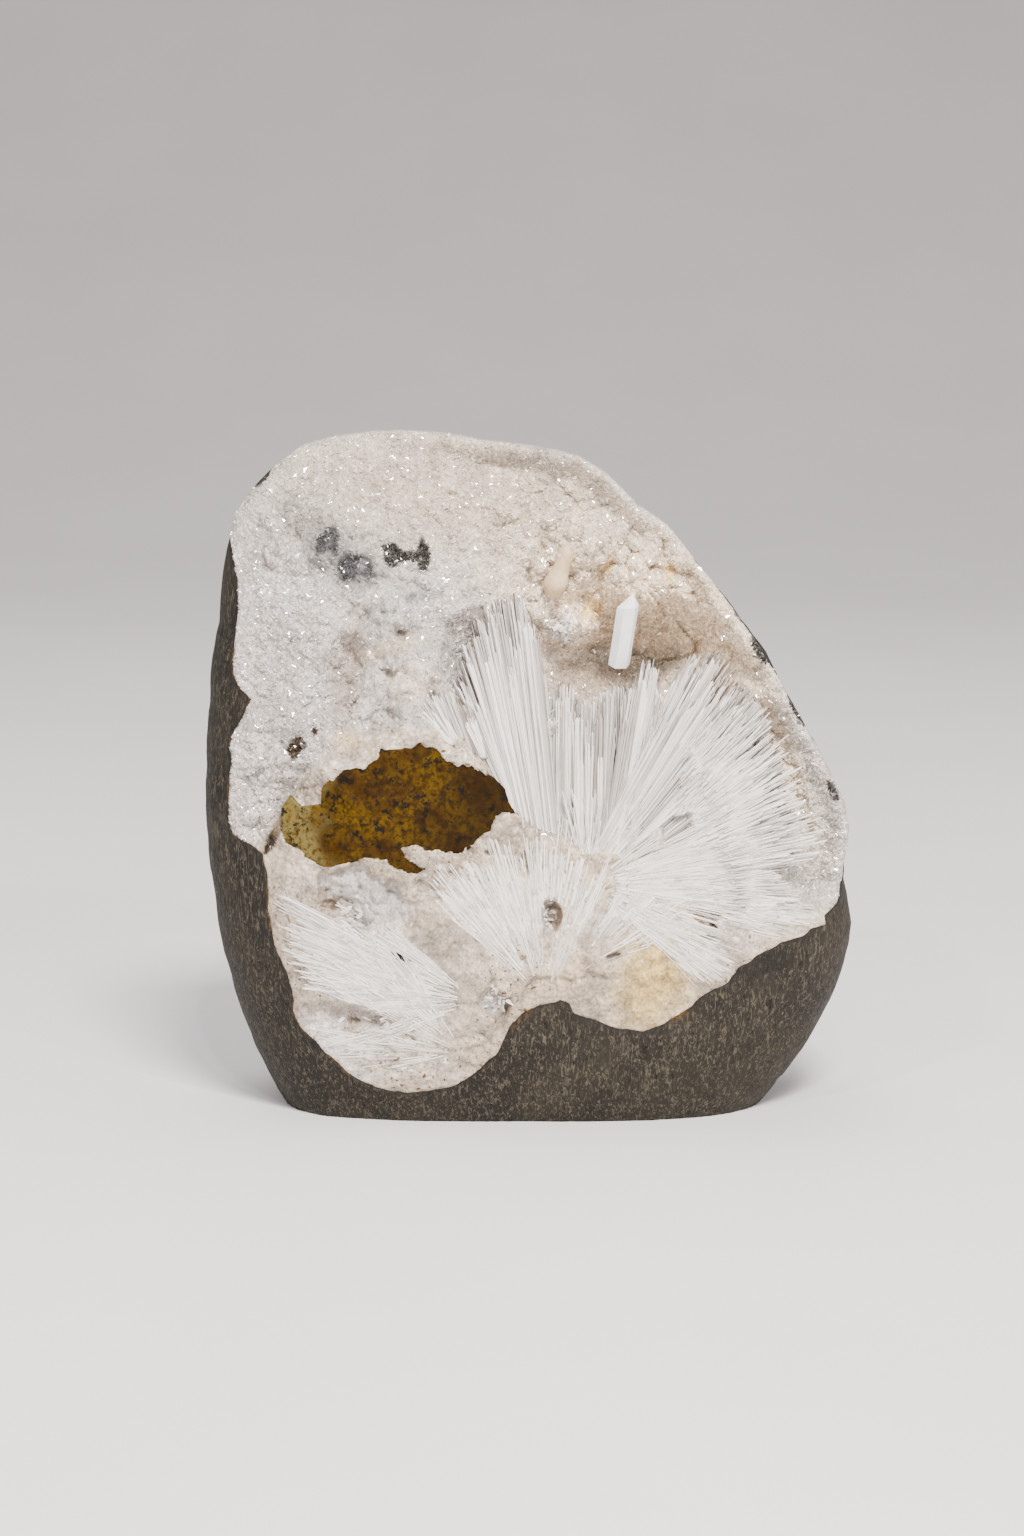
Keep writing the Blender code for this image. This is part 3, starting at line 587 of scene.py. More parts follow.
def fan_grain(x, z):
    """How silky the ground face is, and coordinates that run along the ground needles."""
    silky = np.zeros(np.shape(x))
    grain = np.stack([x * 0.3, z * 0.3, np.zeros(np.shape(x))], axis=-1)
    for number, (fx, fz, first, last, reach) in enumerate(GROUND_FANS):
        angle = np.degrees(np.arctan2(z - fz, x - fx))
        angle = np.where(angle < -90, angle + 360, angle)
        away = np.hypot(x - fx, z - fz)
        uneven = 8 * noise_at(x, z, 7.0, 50 + number)
        weight = smooth_step(first - 6, first + 8, angle + uneven)
        weight = weight * (1 - smooth_step(last - 8, last + 6, angle + uneven))
        weight = weight * (1 - smooth_step(0.8, 1.05, away / reach + 0.02 * uneven))
        weight = weight * smooth_step(0.12, 0.5, away / reach + 0.02 * uneven)
        bend = np.radians(angle) + 0.05 * noise_at(x, z, 9.0, 60 + number)
        streaks = np.stack([bend * 16.0, away * 0.1, 0 * x + 9.0 * number], axis=-1)
        grain = np.where((weight > silky)[..., None], streaks, grain)
        silky = np.maximum(silky, weight)
    waxy_patch = smooth_step(-0.25, 0.35, noise_at(x, z, 7.0, 84) + 0.5 * noise_at(x, z, 2.5, 85))
    right_fan = smooth_step(10.0, 18.0, x) * smooth_step(36.0, 44.0, z)
    return silky * mix(0.3 + 0.7 * waxy_patch, 1.0, right_fan), grain


def crust_tone(x, z):
    """Colour of the crust at a place, with painted shade in its creases, pits and deepest hollow and painted
    light on the hollow's walls.
    """
    natural = natural_share(x, z)
    silky, _ = fan_grain(x, z)
    _, crease = relief(x, z)
    patch = smooth_step(0.25, 0.75, 0.5 + 0.6 * rough_at(x, z, 8.0, 70))
    _, cell = cells(x + 1.2 * noise_at(x, z, 2.5, 74), z + 1.2 * noise_at(x, z, 2.5, 75), 5.5, 35)
    tone = mix(np.array(GROUND_WHITE), np.array(GROUND_GREY), (patch * 0.7 + 0.5 * (cell - 0.5))[..., None])
    nodule, bead = ground_nodules(x, z)
    whiter = smooth_step(4.0, -14.0, x) * 0.5 * (1 - patch)
    tone = mix(tone, np.array(PEARL), whiter[..., None])
    tone = mix(tone, np.array(SILKY_WHITE), (silky * (0.75 + 0.25 * cell))[..., None])
    tone = mix(tone, np.array(DRUSE_WHITE), natural[..., None])
    grain = smooth_step(-0.15, 0.45, rough_at(x, z, 2.4, 83))
    # Stains, windows and pits; the beige ones paint shade in crevices, hollows and pits
    for *ellipse, strength, colour, _ in STAINS:
        half_x, half_z = ellipse[2:4]
        teeth = 0.35 * rough_at(x, z, 0.5 * (half_x + half_z), 80) + 0.22 * noise_at(x, z, 0.9, 81)
        away = elliptic(x, z, *ellipse) + teeth
        soft = 0.12 if strength > 0.85 and colour != GREY else 0.6
        share = strength * (1 - smooth_step(1 - soft, 1 + soft, away))
        if colour == GREY:
            share = np.minimum(1, share * (0.45 + 0.75 * grain))
        tone = mix(tone, np.array(colour), share[..., None])
    hollow = hollow_depth(x, z)
    ridge = 1 + 0.2 * spots(x, z, LUMPY[:1])
    # Painted shade: the creases between the mounds are darkened towards SHADE, less deep in the hollow and
    # more on the ridge.
    painted_crease_shade = smooth_step(0.25, 0.85, crease) * (1 - 0.75 * smooth_step(3.0, 12.0, hollow))
    painted_crease_shade = painted_crease_shade * mix(0.35, 0.6, druse_share(x, z)) * ridge
    tone = mix(tone, tone * np.array(SHADE), (painted_crease_shade * natural)[..., None])
    cloudy = 1 + (0.26 * rough_at(x, z, 4.5, 76) + 0.12 * noise_at(x, z, 1.7, 77)) * natural
    # Painted shade: the ground face darkens away from the nodules' tops, between them, with random mottling
    # too.
    mottle = 1 - (0.34 * (1 - nodule) + 0.16 * (1 - bead) + 0.2 * rough_at(x, z, 2.6, 78)) * (1 - natural)
    # Painted light brightens the hollow's walls from 6 mm deep; painted shade darkens its deepest part, below
    # z 84 to 93.
    painted_lighting = 0.5 * smooth_step(6.0, 14.0, hollow)
    painted_hollow_shade = 0.9 * smooth_step(16.0, 23.0, hollow) * (1 - smooth_step(84.0, 93.0, z))
    tone = tone * (cloudy * mottle * (1 + painted_lighting - painted_hollow_shade))[..., None]
    tone = tone * (1 + 0.05 * rough_at(x, z, 3.0, 71))[..., None]
    return tone / np.maximum(1, tone.max(axis=-1, keepdims=True) / 0.9)


# Making meshes

def new_piece(name, points, faces, material, floats=None, vectors=None, colours=None, smooth=True):
    """A mesh object from points in millimetres and lists of faces with equal corner counts."""
    mesh = bpy.data.meshes.new(name)
    mesh.vertices.add(len(points))
    mesh.vertices.foreach_set("co", (np.asarray(points, np.float64) * UNIT).astype(np.float32).ravel())
    loops = np.concatenate([f.ravel() for f in faces]).astype(np.int32)
    counts = np.concatenate([np.full(len(f), f.shape[1]) for f in faces])
    mesh.loops.add(len(loops))
    mesh.loops.foreach_set("vertex_index", loops)
    mesh.polygons.add(len(counts))
    mesh.polygons.foreach_set("loop_start", np.r_[0, np.cumsum(counts)[:-1]].astype(np.int32))
    mesh.polygons.foreach_set("use_smooth", np.full(len(counts), smooth))
    for key, kind, width, table in (
        ("value", "FLOAT", 1, floats), ("vector", "FLOAT_VECTOR", 3, vectors),
        ("color", "FLOAT_COLOR", 4, colours),
    ):
        for label, values in (table or {}).items():
            values = np.asarray(values, np.float32)
            if width == 4 and values.shape[-1] == 3:
                values = np.column_stack([values, np.ones(len(values), np.float32)])
            mesh.attributes.new(label, kind, "POINT").data.foreach_set(key, values.ravel())
    mesh.update(calc_edges=True)
    mesh.validate()
    mesh.materials.append(material)
    piece = bpy.data.objects.new(name, mesh)
    bpy.context.scene.collection.objects.link(piece)
    return piece


def rows_of_quads(rows, columns, closed):
    """Quads between rows of points that follow each other, each row a ring if closed."""
    index = np.arange(rows * columns).reshape(rows, columns)
    near, far = index[:-1], index[1:]
    if closed:
        near_next, far_next = np.roll(near, -1, axis=1), np.roll(far, -1, axis=1)
    else:
        near, near_next = near[:, :-1], near[:, 1:]
        far, far_next = far[:, :-1], far[:, 1:]
    return np.stack([near, near_next, far_next, far], axis=-1).reshape(-1, 4)


def square_to(axis):
    """Unit vectors along each axis and in two directions square to it."""
    axis = axis / np.linalg.norm(axis, axis=1)[:, None]
    reference = np.where(abs(axis[:, 1:2]) > 0.9, [[1.0, 0, 0]], [[0, 1.0, 0]])
    side = np.cross(axis, reference)
    side /= np.linalg.norm(side, axis=1)[:, None]
    return axis, side, np.cross(axis, side)


def crystals(foot, axis, length, wide, thin, roll, point, slant):
    """Many six-sided crystals in one set of points and faces, with their grain coordinates."""
    count = len(foot)
    axis, side, front = square_to(axis)
    turn = np.arange(6) * np.pi / 3
    around = turn[None, :] + roll[:, None]
    flat = wide[:, None] * np.cos(turn), thin[:, None] * np.sin(turn)
    c, s = np.cos(roll)[:, None], np.sin(roll)[:, None]
    across, out = flat[0] * c - flat[1] * s, flat[0] * s + flat[1] * c
    offset = across[..., None] * side[:, None] + out[..., None] * front[:, None]
    low = foot[:, None] + offset
    shoulder = (length - point)[:, None] + slant[:, None] * np.cos(around + 1.0)
    high = foot[:, None] + offset + shoulder[..., None] * axis[:, None]
    lean = 0.3 * wide[:, None] * side
    tip = foot + length[:, None] * axis + lean
    points = np.concatenate([low, high, tip[:, None]], axis=1).reshape(-1, 3)
    start = CRYSTAL_CORNERS * np.arange(count)[:, None, None]
    ring = np.arange(6)
    following = (ring + 1) % 6
    sides = np.stack([ring, following, following + 6, ring + 6], axis=-1)[None] + start
    caps = np.stack([ring + 6, following + 6, np.full(6, 12)], axis=-1)[None] + start
    floor = np.arange(5, -1, -1)[None, None] + start
    number = random.uniform(0, 60, count)
    local = np.zeros((count, CRYSTAL_CORNERS, 3))
    local[:, :6, 0], local[:, 6:12, 0] = across, across
    local[:, :6, 1], local[:, 6:12, 1] = out, out
    local[:, 6:12, 2] = shoulder
    local[:, 12, 2] = length
    local[..., 0] += number[:, None]
    faces = [sides.reshape(-1, 4), caps.reshape(-1, 3), floor.reshape(-1, 6)]
    return points, faces, local.reshape(-1, 3)


def crystals_between(foot, end, *shape):
    """Crystals that each reach from a foot to an end."""
    return crystals(foot, end - foot, np.linalg.norm(end - foot, axis=1), *shape)


def needles(name, shape, material, tint):
    """A piece made of crystals, each with one tint."""
    points, faces, grain = shape
    tints = {"tint": np.repeat(tint, CRYSTAL_CORNERS)}
    return new_piece(name, points, faces, material, tints, {"grain": grain}, smooth=False)


def quartz_points(foot, axis, height, girth):
    """Many three-sided points in one set of vertices and faces."""
    count = len(foot)
    axis, side, front = square_to(axis)
    turn = np.arange(3) * 2 * np.pi / 3 + random.uniform(0, 6, count)[:, None]
    around = np.cos(turn)[..., None] * side[:, None] + np.sin(turn)[..., None] * front[:, None]
    low = foot[:, None] + girth[:, None, None] * around
    tip = foot + height[:, None] * axis
    points = np.concatenate([low, tip[:, None]], axis=1).reshape(-1, 3)
    start = POINT_CORNERS * np.arange(count)[:, None, None]
    faces = np.array([(0, 1, 3), (1, 2, 3), (2, 0, 3), (2, 1, 0)])[None] + start
    return points, faces.reshape(-1, 3)


# Materials

def material_named(name):
    material = bpy.data.materials.new(name)
    material.use_nodes = True
    return material, material.node_tree, material.node_tree.nodes["Principled BSDF"]


def add(tree, kind, inputs=(), **settings):
    """A node with its settings and its inputs, which are values or other nodes' outputs."""
    made = tree.nodes.new(kind)
    for key, value in settings.items():
        setattr(made, key, value)
    for key, value in dict(inputs).items():
        if isinstance(value, bpy.types.NodeSocket):
            tree.links.new(value, made.inputs[key])
        else:
            made.inputs[key].default_value = value
    return made


def attribute(tree, name, output="Vector"):
    return add(tree, "ShaderNodeAttribute", attribute_name=name).outputs[output]


def factor(tree, name):
    return attribute(tree, name, "Fac")


def object_place(tree, scale=(1.0, 1.0, 1.0)):
    """Object coordinates in millimetres, stretched by a scale for each axis."""
    place_node = add(tree, "ShaderNodeTexCoord").outputs["Object"]
    stretch = tuple(s / UNIT for s in scale)
    return add(tree, "ShaderNodeVectorMath", {0: place_node, 1: stretch}, operation="MULTIPLY").outputs[0]


def grain_noise(tree, where, scale, detail=3.0, roughness=0.5):
    inputs = {"Vector": where, "Scale": scale, "Detail": detail, "Roughness": roughness}
    return add(tree, "ShaderNodeTexNoise", inputs).outputs["Fac"]


def curled(tree, where, scale):
    """Noise whose streaks curl like the marks of a grinding wheel."""
    inputs = {"Vector": where, "Scale": scale, "Detail": 3.0, "Roughness": 0.6, "Distortion": 1.6}
    return add(tree, "ShaderNodeTexNoise", inputs).outputs["Fac"]


def beads(tree, scale):
    """Distance from the middles of close-packed round nodules."""
    inputs = {"Vector": object_place(tree, scale), "Scale": 1.0, "Smoothness": 0.35}
    return add(tree, "ShaderNodeTexVoronoi", inputs, feature="SMOOTH_F1").outputs["Distance"]


def ranged(tree, value, low, high, to_low=0.0, to_high=1.0):
    inputs = {"Value": value, "From Min": low, "From Max": high, "To Min": to_low, "To Max": to_high}
    return add(tree, "ShaderNodeMapRange", inputs).outputs["Result"]


def maths(tree, operation, a, b):
    return add(tree, "ShaderNodeMath", {0: a, 1: b}, operation=operation).outputs[0]


def times(tree, a, b):
    return maths(tree, "MULTIPLY", a, b)


def plus(tree, a, b):
    return maths(tree, "ADD", a, b)


def minus(tree, a, b):
    return maths(tree, "SUBTRACT", a, b)


def between(tree, share, a, b):
    return add(tree, "ShaderNodeMix", {0: share, 2: a, 3: b}).outputs[0]


def blended(tree, share, a, b, kind="MIX"):
    inputs = {0: share, 6: a, 7: b}
    return add(tree, "ShaderNodeMix", inputs, data_type="RGBA", blend_type=kind).outputs[2]


def rgba(colour):
    return (*colour, 1.0)


def stained(tree, share, colour, stain):
    """A colour with a plain stain over a share of it."""
    return blended(tree, share, colour, rgba(stain))


def clouded(tree, value, low, high, dark, light):
    """A plain tone that goes from dark to light as a value does from low to high."""
    return blended(tree, ranged(tree, value, low, high), rgba(dark), rgba(light))


def shaded(tree, colour, shade):
    return blended(tree, 1.0, colour, shade, "MULTIPLY")


def bumped(tree, height, distance, strength=1.0, below=None):
    inputs = {"Height": height, "Distance": distance * UNIT, "Strength": strength}
    if below is not None:
        inputs["Normal"] = below
    return add(tree, "ShaderNodeBump", inputs).outputs["Normal"]


def wire(tree, shader, **sockets):
    for name, source in sockets.items():
        tree.links.new(source, shader.inputs[name.replace("_", " ")])


def preset(shader, **sockets):
    for name, value in sockets.items():
        shader.inputs[name.replace("_", " ")].default_value = value


def rock_material():
    """Ground basalt: brown grey, with pits, pale grains and the upright scratches of the grinding."""
    material, tree, shader = material_named("basalt_look")
    fine = object_place(tree)
    upright = object_place(tree, (1.0, 1.0, 0.2))
    cloud = grain_noise(tree, fine, 0.06, 4.0)
    scratch = curled(tree, upright, 1.8)
    speckle = grain_noise(tree, fine, 1.3, 5.0, 0.75)
    pit = grain_noise(tree, object_place(tree, (1.0, 1.0, 0.55)), 0.75, 2.0, 0.6)
    colour = clouded(tree, cloud, 0.38, 0.62, (0.008, 0.0063, 0.0042), (0.021, 0.0168, 0.0113))
    pale = ranged(tree, scratch, 0.53, 0.62)
    colour = stained(tree, times(tree, pale, 0.75), colour, (0.092, 0.075, 0.051))
    colour = stained(tree, ranged(tree, speckle, 0.58, 0.68, 0.0, 0.7), colour, (0.14, 0.115, 0.08))
    colour = stained(tree, ranged(tree, speckle, 0.44, 0.34, 0.0, 0.85), colour, (0.0045, 0.0035, 0.0025))
    # Painted shade: the bumped pits are darkened.
    pits = ranged(tree, pit, 0.36, 0.28)
    colour = stained(tree, times(tree, pits, 0.9), colour, (0.004, 0.003, 0.002))
    edge = factor(tree, "edge")
    colour = stained(tree, times(tree, edge, 0.85), colour, (0.008, 0.006, 0.0045))
    rusty = times(tree, factor(tree, "rusty"), ranged(tree, speckle, 0.42, 0.55))
    colour = stained(tree, rusty, colour, (0.11, 0.052, 0.012))
    relief = minus(tree, plus(tree, scratch, times(tree, speckle, 0.6)), pits)
    normal = bumped(tree, relief, 0.4, 0.7)
    rough_value = ranged(tree, cloud, 0.3, 0.7, 0.62, 0.78)
    wire(tree, shader, Base_Color=colour, Roughness=rough_value, Normal=normal)
    preset(shader, Specular_IOR_Level=0.25)
    return material


def crust_material():
    """The crust: sugary druse above, nodules and silky ground fans below."""
    material, tree, shader = material_named("crust_look")
    tone = attribute(tree, "tone", "Color")
    silky = factor(tree, "silky")
    natural = factor(tree, "natural")
    grain = attribute(tree, "grain")
    fine = object_place(tree)
    streak = grain_noise(tree, grain, 2.2, 4.0, 0.75)
    sugar = grain_noise(tree, fine, 1.9, 3.0, 0.65)
    speck = grain_noise(tree, fine, 1.2, 1.5, 0.5)
    shade = ranged(tree, streak, 0.36, 0.58, 0.34, 1.08)
    shade = between(tree, silky, 1.0, shade)
    # Painted shade: darker where the sugary bump lies low, in the grain's hollows.
    painted_grain_shade = ranged(tree, sugar, 0.36, 0.58, 0.62, 1.12)
    lumps = beads(tree, (0.34, 0.34, 0.34))
    beady = beads(tree, (0.8, 0.8, 0.8))
    bare = minus(tree, 1.0, times(tree, natural, 0.7))
    smooth_part = times(tree, minus(tree, 1.0, silky), bare)
    nodules = plus(tree, lumps, times(tree, beady, 0.5))
    # Painted light and shade: the ground nodules' middles are lighter and their edges darker.
    painted_lighting = ranged(tree, nodules, 0.25, 1.0, 1.12, 0.66)
    painted_lighting = between(tree, smooth_part, 1.0, painted_lighting)
    colour = shaded(tree, tone, shade)
    colour = shaded(tree, colour, painted_lighting)
    colour = shaded(tree, colour, painted_grain_shade)
    specks = times(tree, ranged(tree, speck, 0.645, 0.665), factor(tree, "specks"))
    colour = stained(tree, specks, colour, (0.10, 0.042, 0.012))
    rise = times(tree, times(tree, streak, silky), 0.6)
    grainy = times(tree, sugar, plus(tree, times(tree, natural, 1.2), 0.25))
    domes = bumped(tree, times(tree, nodules, smooth_part), -1.1, 0.8)
    normal = bumped(tree, plus(tree, rise, grainy), 0.4, 0.8, domes)
    gloss = between(tree, natural, 0.27, 0.32)
    wire(tree, shader, Base_Color=colour, Roughness=gloss, Normal=normal)
    return material


def waxy(shader, weight, reach):
    """Light that goes into the mineral and comes out again nearby."""
    preset(shader, Subsurface_Weight=weight, Subsurface_Scale=reach * UNIT)
    preset(shader, Subsurface_Radius=(1.0, 0.82, 0.66))


def needle_material():
    """Scolecite: silky white needles with fine lines along them."""
    material, tree, shader = material_named("needle_look")
    grain = attribute(tree, "grain")
    scaling = {0: grain, 1: (1.0, 1.0, 0.07)}
    stretched = add(tree, "ShaderNodeVectorMath", scaling, operation="MULTIPLY").outputs[0]
    lines = grain_noise(tree, stretched, 7.0, 2.0, 0.6)
    cloud = grain_noise(tree, grain, 0.5, 2.0, 0.5)
    tint = factor(tree, "tint")
    # Low tints are random darker needles, and painted shade on needles lying further behind.
    colour = blended(tree, tint, rgba((0.15, 0.105, 0.075)), rgba((0.97, 0.91, 0.86)))
    colour = shaded(tree, colour, ranged(tree, lines, 0.3, 0.7, 0.8, 1.04))
    colour = shaded(tree, colour, ranged(tree, cloud, 0.35, 0.7, 0.93, 1.03))
    normal = bumped(tree, lines, 0.12, 0.5)
    wire(tree, shader, Base_Color=colour, Normal=normal)
    preset(shader, Roughness=0.24)
    return material


def druse_material():
    """Quartz points: pale, opaque and very glossy."""
    material, tree, shader = material_named("druse_look")
    tone = attribute(tree, "tone", "Color")
    tint = factor(tree, "tint")
    frost = grain_noise(tree, object_place(tree), 1.5, 2.0, 0.6)
    colour = shaded(tree, tone, ranged(tree, tint, 0.0, 1.0, 0.74, 1.3))
    colour = shaded(tree, colour, ranged(tree, frost, 0.3, 0.7, 0.95, 1.04))
    wire(tree, shader, Base_Color=colour, Normal=bumped(tree, frost, 0.05, 0.3))
    preset(shader, Roughness=0.1, IOR=1.6, Specular_IOR_Level=1.0)
    return material


def olive_material():
    """The olive-brown window: glossy, darker to the right, paler at its left end, with black ferns."""
    material, tree, shader = material_named("olive_look")
    fine = object_place(tree)
    cloud = grain_noise(tree, fine, 0.16, 4.0, 0.6)
    mottle = grain_noise(tree, fine, 0.9, 4.0, 0.7)
    fern = grain_noise(tree, fine, 0.55, 6.0, 0.75)
    dark = factor(tree, "dark")
    pale = factor(tree, "pale")
    colour = clouded(tree, cloud, 0.38, 0.62, (0.036, 0.0155, 0.0003), (0.082, 0.043, 0.0006))
    colour = stained(tree, ranged(tree, mottle, 0.42, 0.60, 0.0, 0.85), colour, (0.014, 0.0058, 0.0006))
    colour = stained(tree, times(tree, dark, 0.7), colour, (0.010, 0.0045, 0.001))
    mottled = times(tree, pale, ranged(tree, mottle, 0.38, 0.52))
    colour = stained(tree, mottled, colour, (0.13, 0.097, 0.030))
    colour = stained(tree, ranged(tree, fern, 0.545, 0.59, 0.0, 0.9), colour, (0.004, 0.0035, 0.003))
    colour = stained(tree, ranged(tree, fern, 0.30, 0.26, 0.0, 0.7), colour, (0.25, 0.20, 0.11))
    wire(tree, shader, Base_Color=colour, Normal=bumped(tree, mottle, 0.25, 0.4))
    preset(shader, Roughness=0.34, Specular_IOR_Level=0.06)
    return material


def prism_material():
    """The thick prism: milky white, with some light scattered under its surface."""
    material, tree, shader = material_named("prism_look")
    fine = object_place(tree, (1.0, 1.0, 0.25))
    cloud = grain_noise(tree, fine, 0.5, 3.0, 0.6)
    colour = clouded(tree, cloud, 0.35, 0.65, (0.90, 0.87, 0.85), (0.98, 0.97, 0.96))
    wire(tree, shader, Base_Color=colour, Normal=bumped(tree, cloud, 0.15, 0.3))
    preset(shader, Roughness=0.16, IOR=1.53)
    waxy(shader, 0.3, 1.5)
    return material


def finger_material():
    """The cream finger: smooth, waxy, with a bumpy skin."""
    material, tree, shader = material_named("finger_look")
    fine = object_place(tree)
    skin = grain_noise(tree, fine, 1.6, 3.0, 0.5)
    cloud = grain_noise(tree, fine, 0.35, 2.0, 0.5)
    colour = clouded(tree, cloud, 0.35, 0.65, (0.52, 0.37, 0.215), (0.64, 0.48, 0.31))
    wire(tree, shader, Base_Color=colour, Normal=bumped(tree, skin, 0.2, 0.35))
    preset(shader, Roughness=0.4)
    waxy(shader, 0.4, 1.6)
    return material


# The pieces

def make_rock():
    """The block as one closed skin: socket, ground front, sides, back and base."""
    columns = 620
    angle = np.linspace(-np.pi, np.pi, columns, endpoint=False)
    rim = rock_radius(angle)
    edge = crust_radius(angle) + 0.05
    power = squareness(angle)
    shown = smooth_step(0.0, 1.5, rim - edge)
    inner = np.minimum(edge, rim - 0.05)
    rows = []
    for share in (0.04, 0.3, 0.6, 0.85, 1.0):
        x, z = place(angle, inner * share)
        rows.append((x, bed(x, z) + GAP, z))
    edge_share = inner / rim
    first = np.arcsin(np.minimum(1, edge_share ** (power / 2)))
    front_rows = 44
    for step in range(front_rows + 1):
        phi = first + (np.pi / 2 - first) * step / front_rows
        x, z = place(angle, rim * np.sin(phi) ** (2 / power))
        y = -front_depth(z) * np.cos(phi) ** (2 / power)
        start_x, start_z = place(angle, inner)
        hidden = (bed(start_x, start_z) + GAP) * (1 - step / front_rows)
        rows.append((x, mix(np.maximum(y, hidden), y, shown), z))
    back_rows = 84
    for step in range(1, back_rows):
        phi = np.pi / 2 * (1 - step / back_rows)
        x, z = place(angle, rim * np.sin(phi) ** (2 / BACK_SQUARENESS))
        depth = BACK_DEPTH - BACK_LEAN * np.maximum(0.0, z - LEAN_FROM)
        rows.append((x, depth * np.cos(phi) ** (2 / BACK_SQUARENESS), z))
    points = np.array(rows).transpose(0, 2, 1)
    x, y, z = points[..., 0], points[..., 1], points[..., 2]
    side = smooth_step(-8.0, 12.0, y)
    dent = 0.35 * (rough(x, y, z, 14.0, 90) - 0.6) + 0.16 * (rough(x, y, z, 3.0, 91) - 0.6)
    dent += side * (1.1 * (rough(x, y, z, 11.0, 92, 4) - 0.7) + 0.5 * (rough(x, y, z, 2.4, 93) - 0.6))
    pits = smooth_step(0.45, 0.7, noise(x, y, z, 1.7, 94)) * (0.25 + 0.75 * side)
    middle = np.array((CENTRE[0], 0.0, CENTRE[1]))
    away = points - middle
    away /= np.linalg.norm(away, axis=-1)[..., None]
    away[..., 1] *= 1.6
    near_edge = np.ones(points.shape[:2])
    near_edge[:6] = 0.0
    near_edge[6:12] *= np.linspace(0.2, 1.0, 6)[:, None]
    points = points + away * ((dent - 0.5 * pits) * near_edge)[..., None]
    points[..., 2] = np.maximum(points[..., 2], 0.0)
    flat = points.reshape(-1, 3)
    hubs = np.array([[CENTRE[0], bed(*map(np.array, CENTRE)) + GAP, CENTRE[1]],
                     [CENTRE[0], points[-1, :, 1].mean() + 0.3, CENTRE[1]]], dtype=float)
    start, end, number = len(flat), len(flat) + 1, len(points)
    ring = np.arange(columns)
    following = np.roll(ring, -1)
    low_fan = np.stack([following, ring, np.full(columns, start)], axis=-1)
    last = (number - 1) * columns
    high_fan = np.stack([ring + last, following + last, np.full(columns, end)], axis=-1)
    quads = rows_of_quads(number, columns, True)
    gap = -crust_margin(flat[:, 0], flat[:, 2])
    px, py, pz = flat.T
    before = py < 0
    dark = (1 - smooth_step(0.1, 1.1, gap + 0.5 * noise(px, py, pz, 1.5, 95))) * before
    away = elliptic(px, pz, 44.6, 30.8, 6.5, 2.4, 22.0) + 0.3 * noise_at(px, pz, 2.0, 97)
    band = 1 - smooth_step(0.7, 1.15, away)
    dark = np.maximum(dark, 0.75 * band * before)
    rusty = (1 - smooth_step(0.0, 0.5, gap)) * before * smooth_step(-0.1, 0.4, noise_at(px, pz, 5.0, 96))
    seen = np.tile(shown, number)
    floats = {"edge": np.r_[dark * seen, 0.0, 0.0], "rusty": np.r_[rusty * seen, 0.0, 0.0]}
    return new_piece("basalt", np.vstack([flat, hubs]), [quads, low_fan, high_fan], rock_material(), floats)


def disc_grid(count):
    """Points of a square grid moved evenly onto a disc: shares of the radius, and angles."""
    line = np.linspace(-1, 1, count)
    a, b = np.meshgrid(line, line + 0.2 * (1 - line**2), indexing="ij")
    wide = abs(a) > abs(b)
    safe_a, safe_b = np.where(a == 0, 1e-9, a), np.where(b == 0, 1e-9, b)
    share = np.where(wide, a, b)
    turn = np.where(wide, np.pi / 4 * b / safe_a, np.pi / 2 - np.pi / 4 * a / safe_b)
    x, z = share * np.cos(turn), share * np.sin(turn)
    return np.hypot(x, z), np.arctan2(z, x)


def square_border(count):
    """Indices round the border of a square grid."""
    index = np.arange(count * count).reshape(count, count)
    return np.concatenate([index[0, :-1], index[:-1, -1], index[-1, :0:-1], index[:0:-1, 0]])


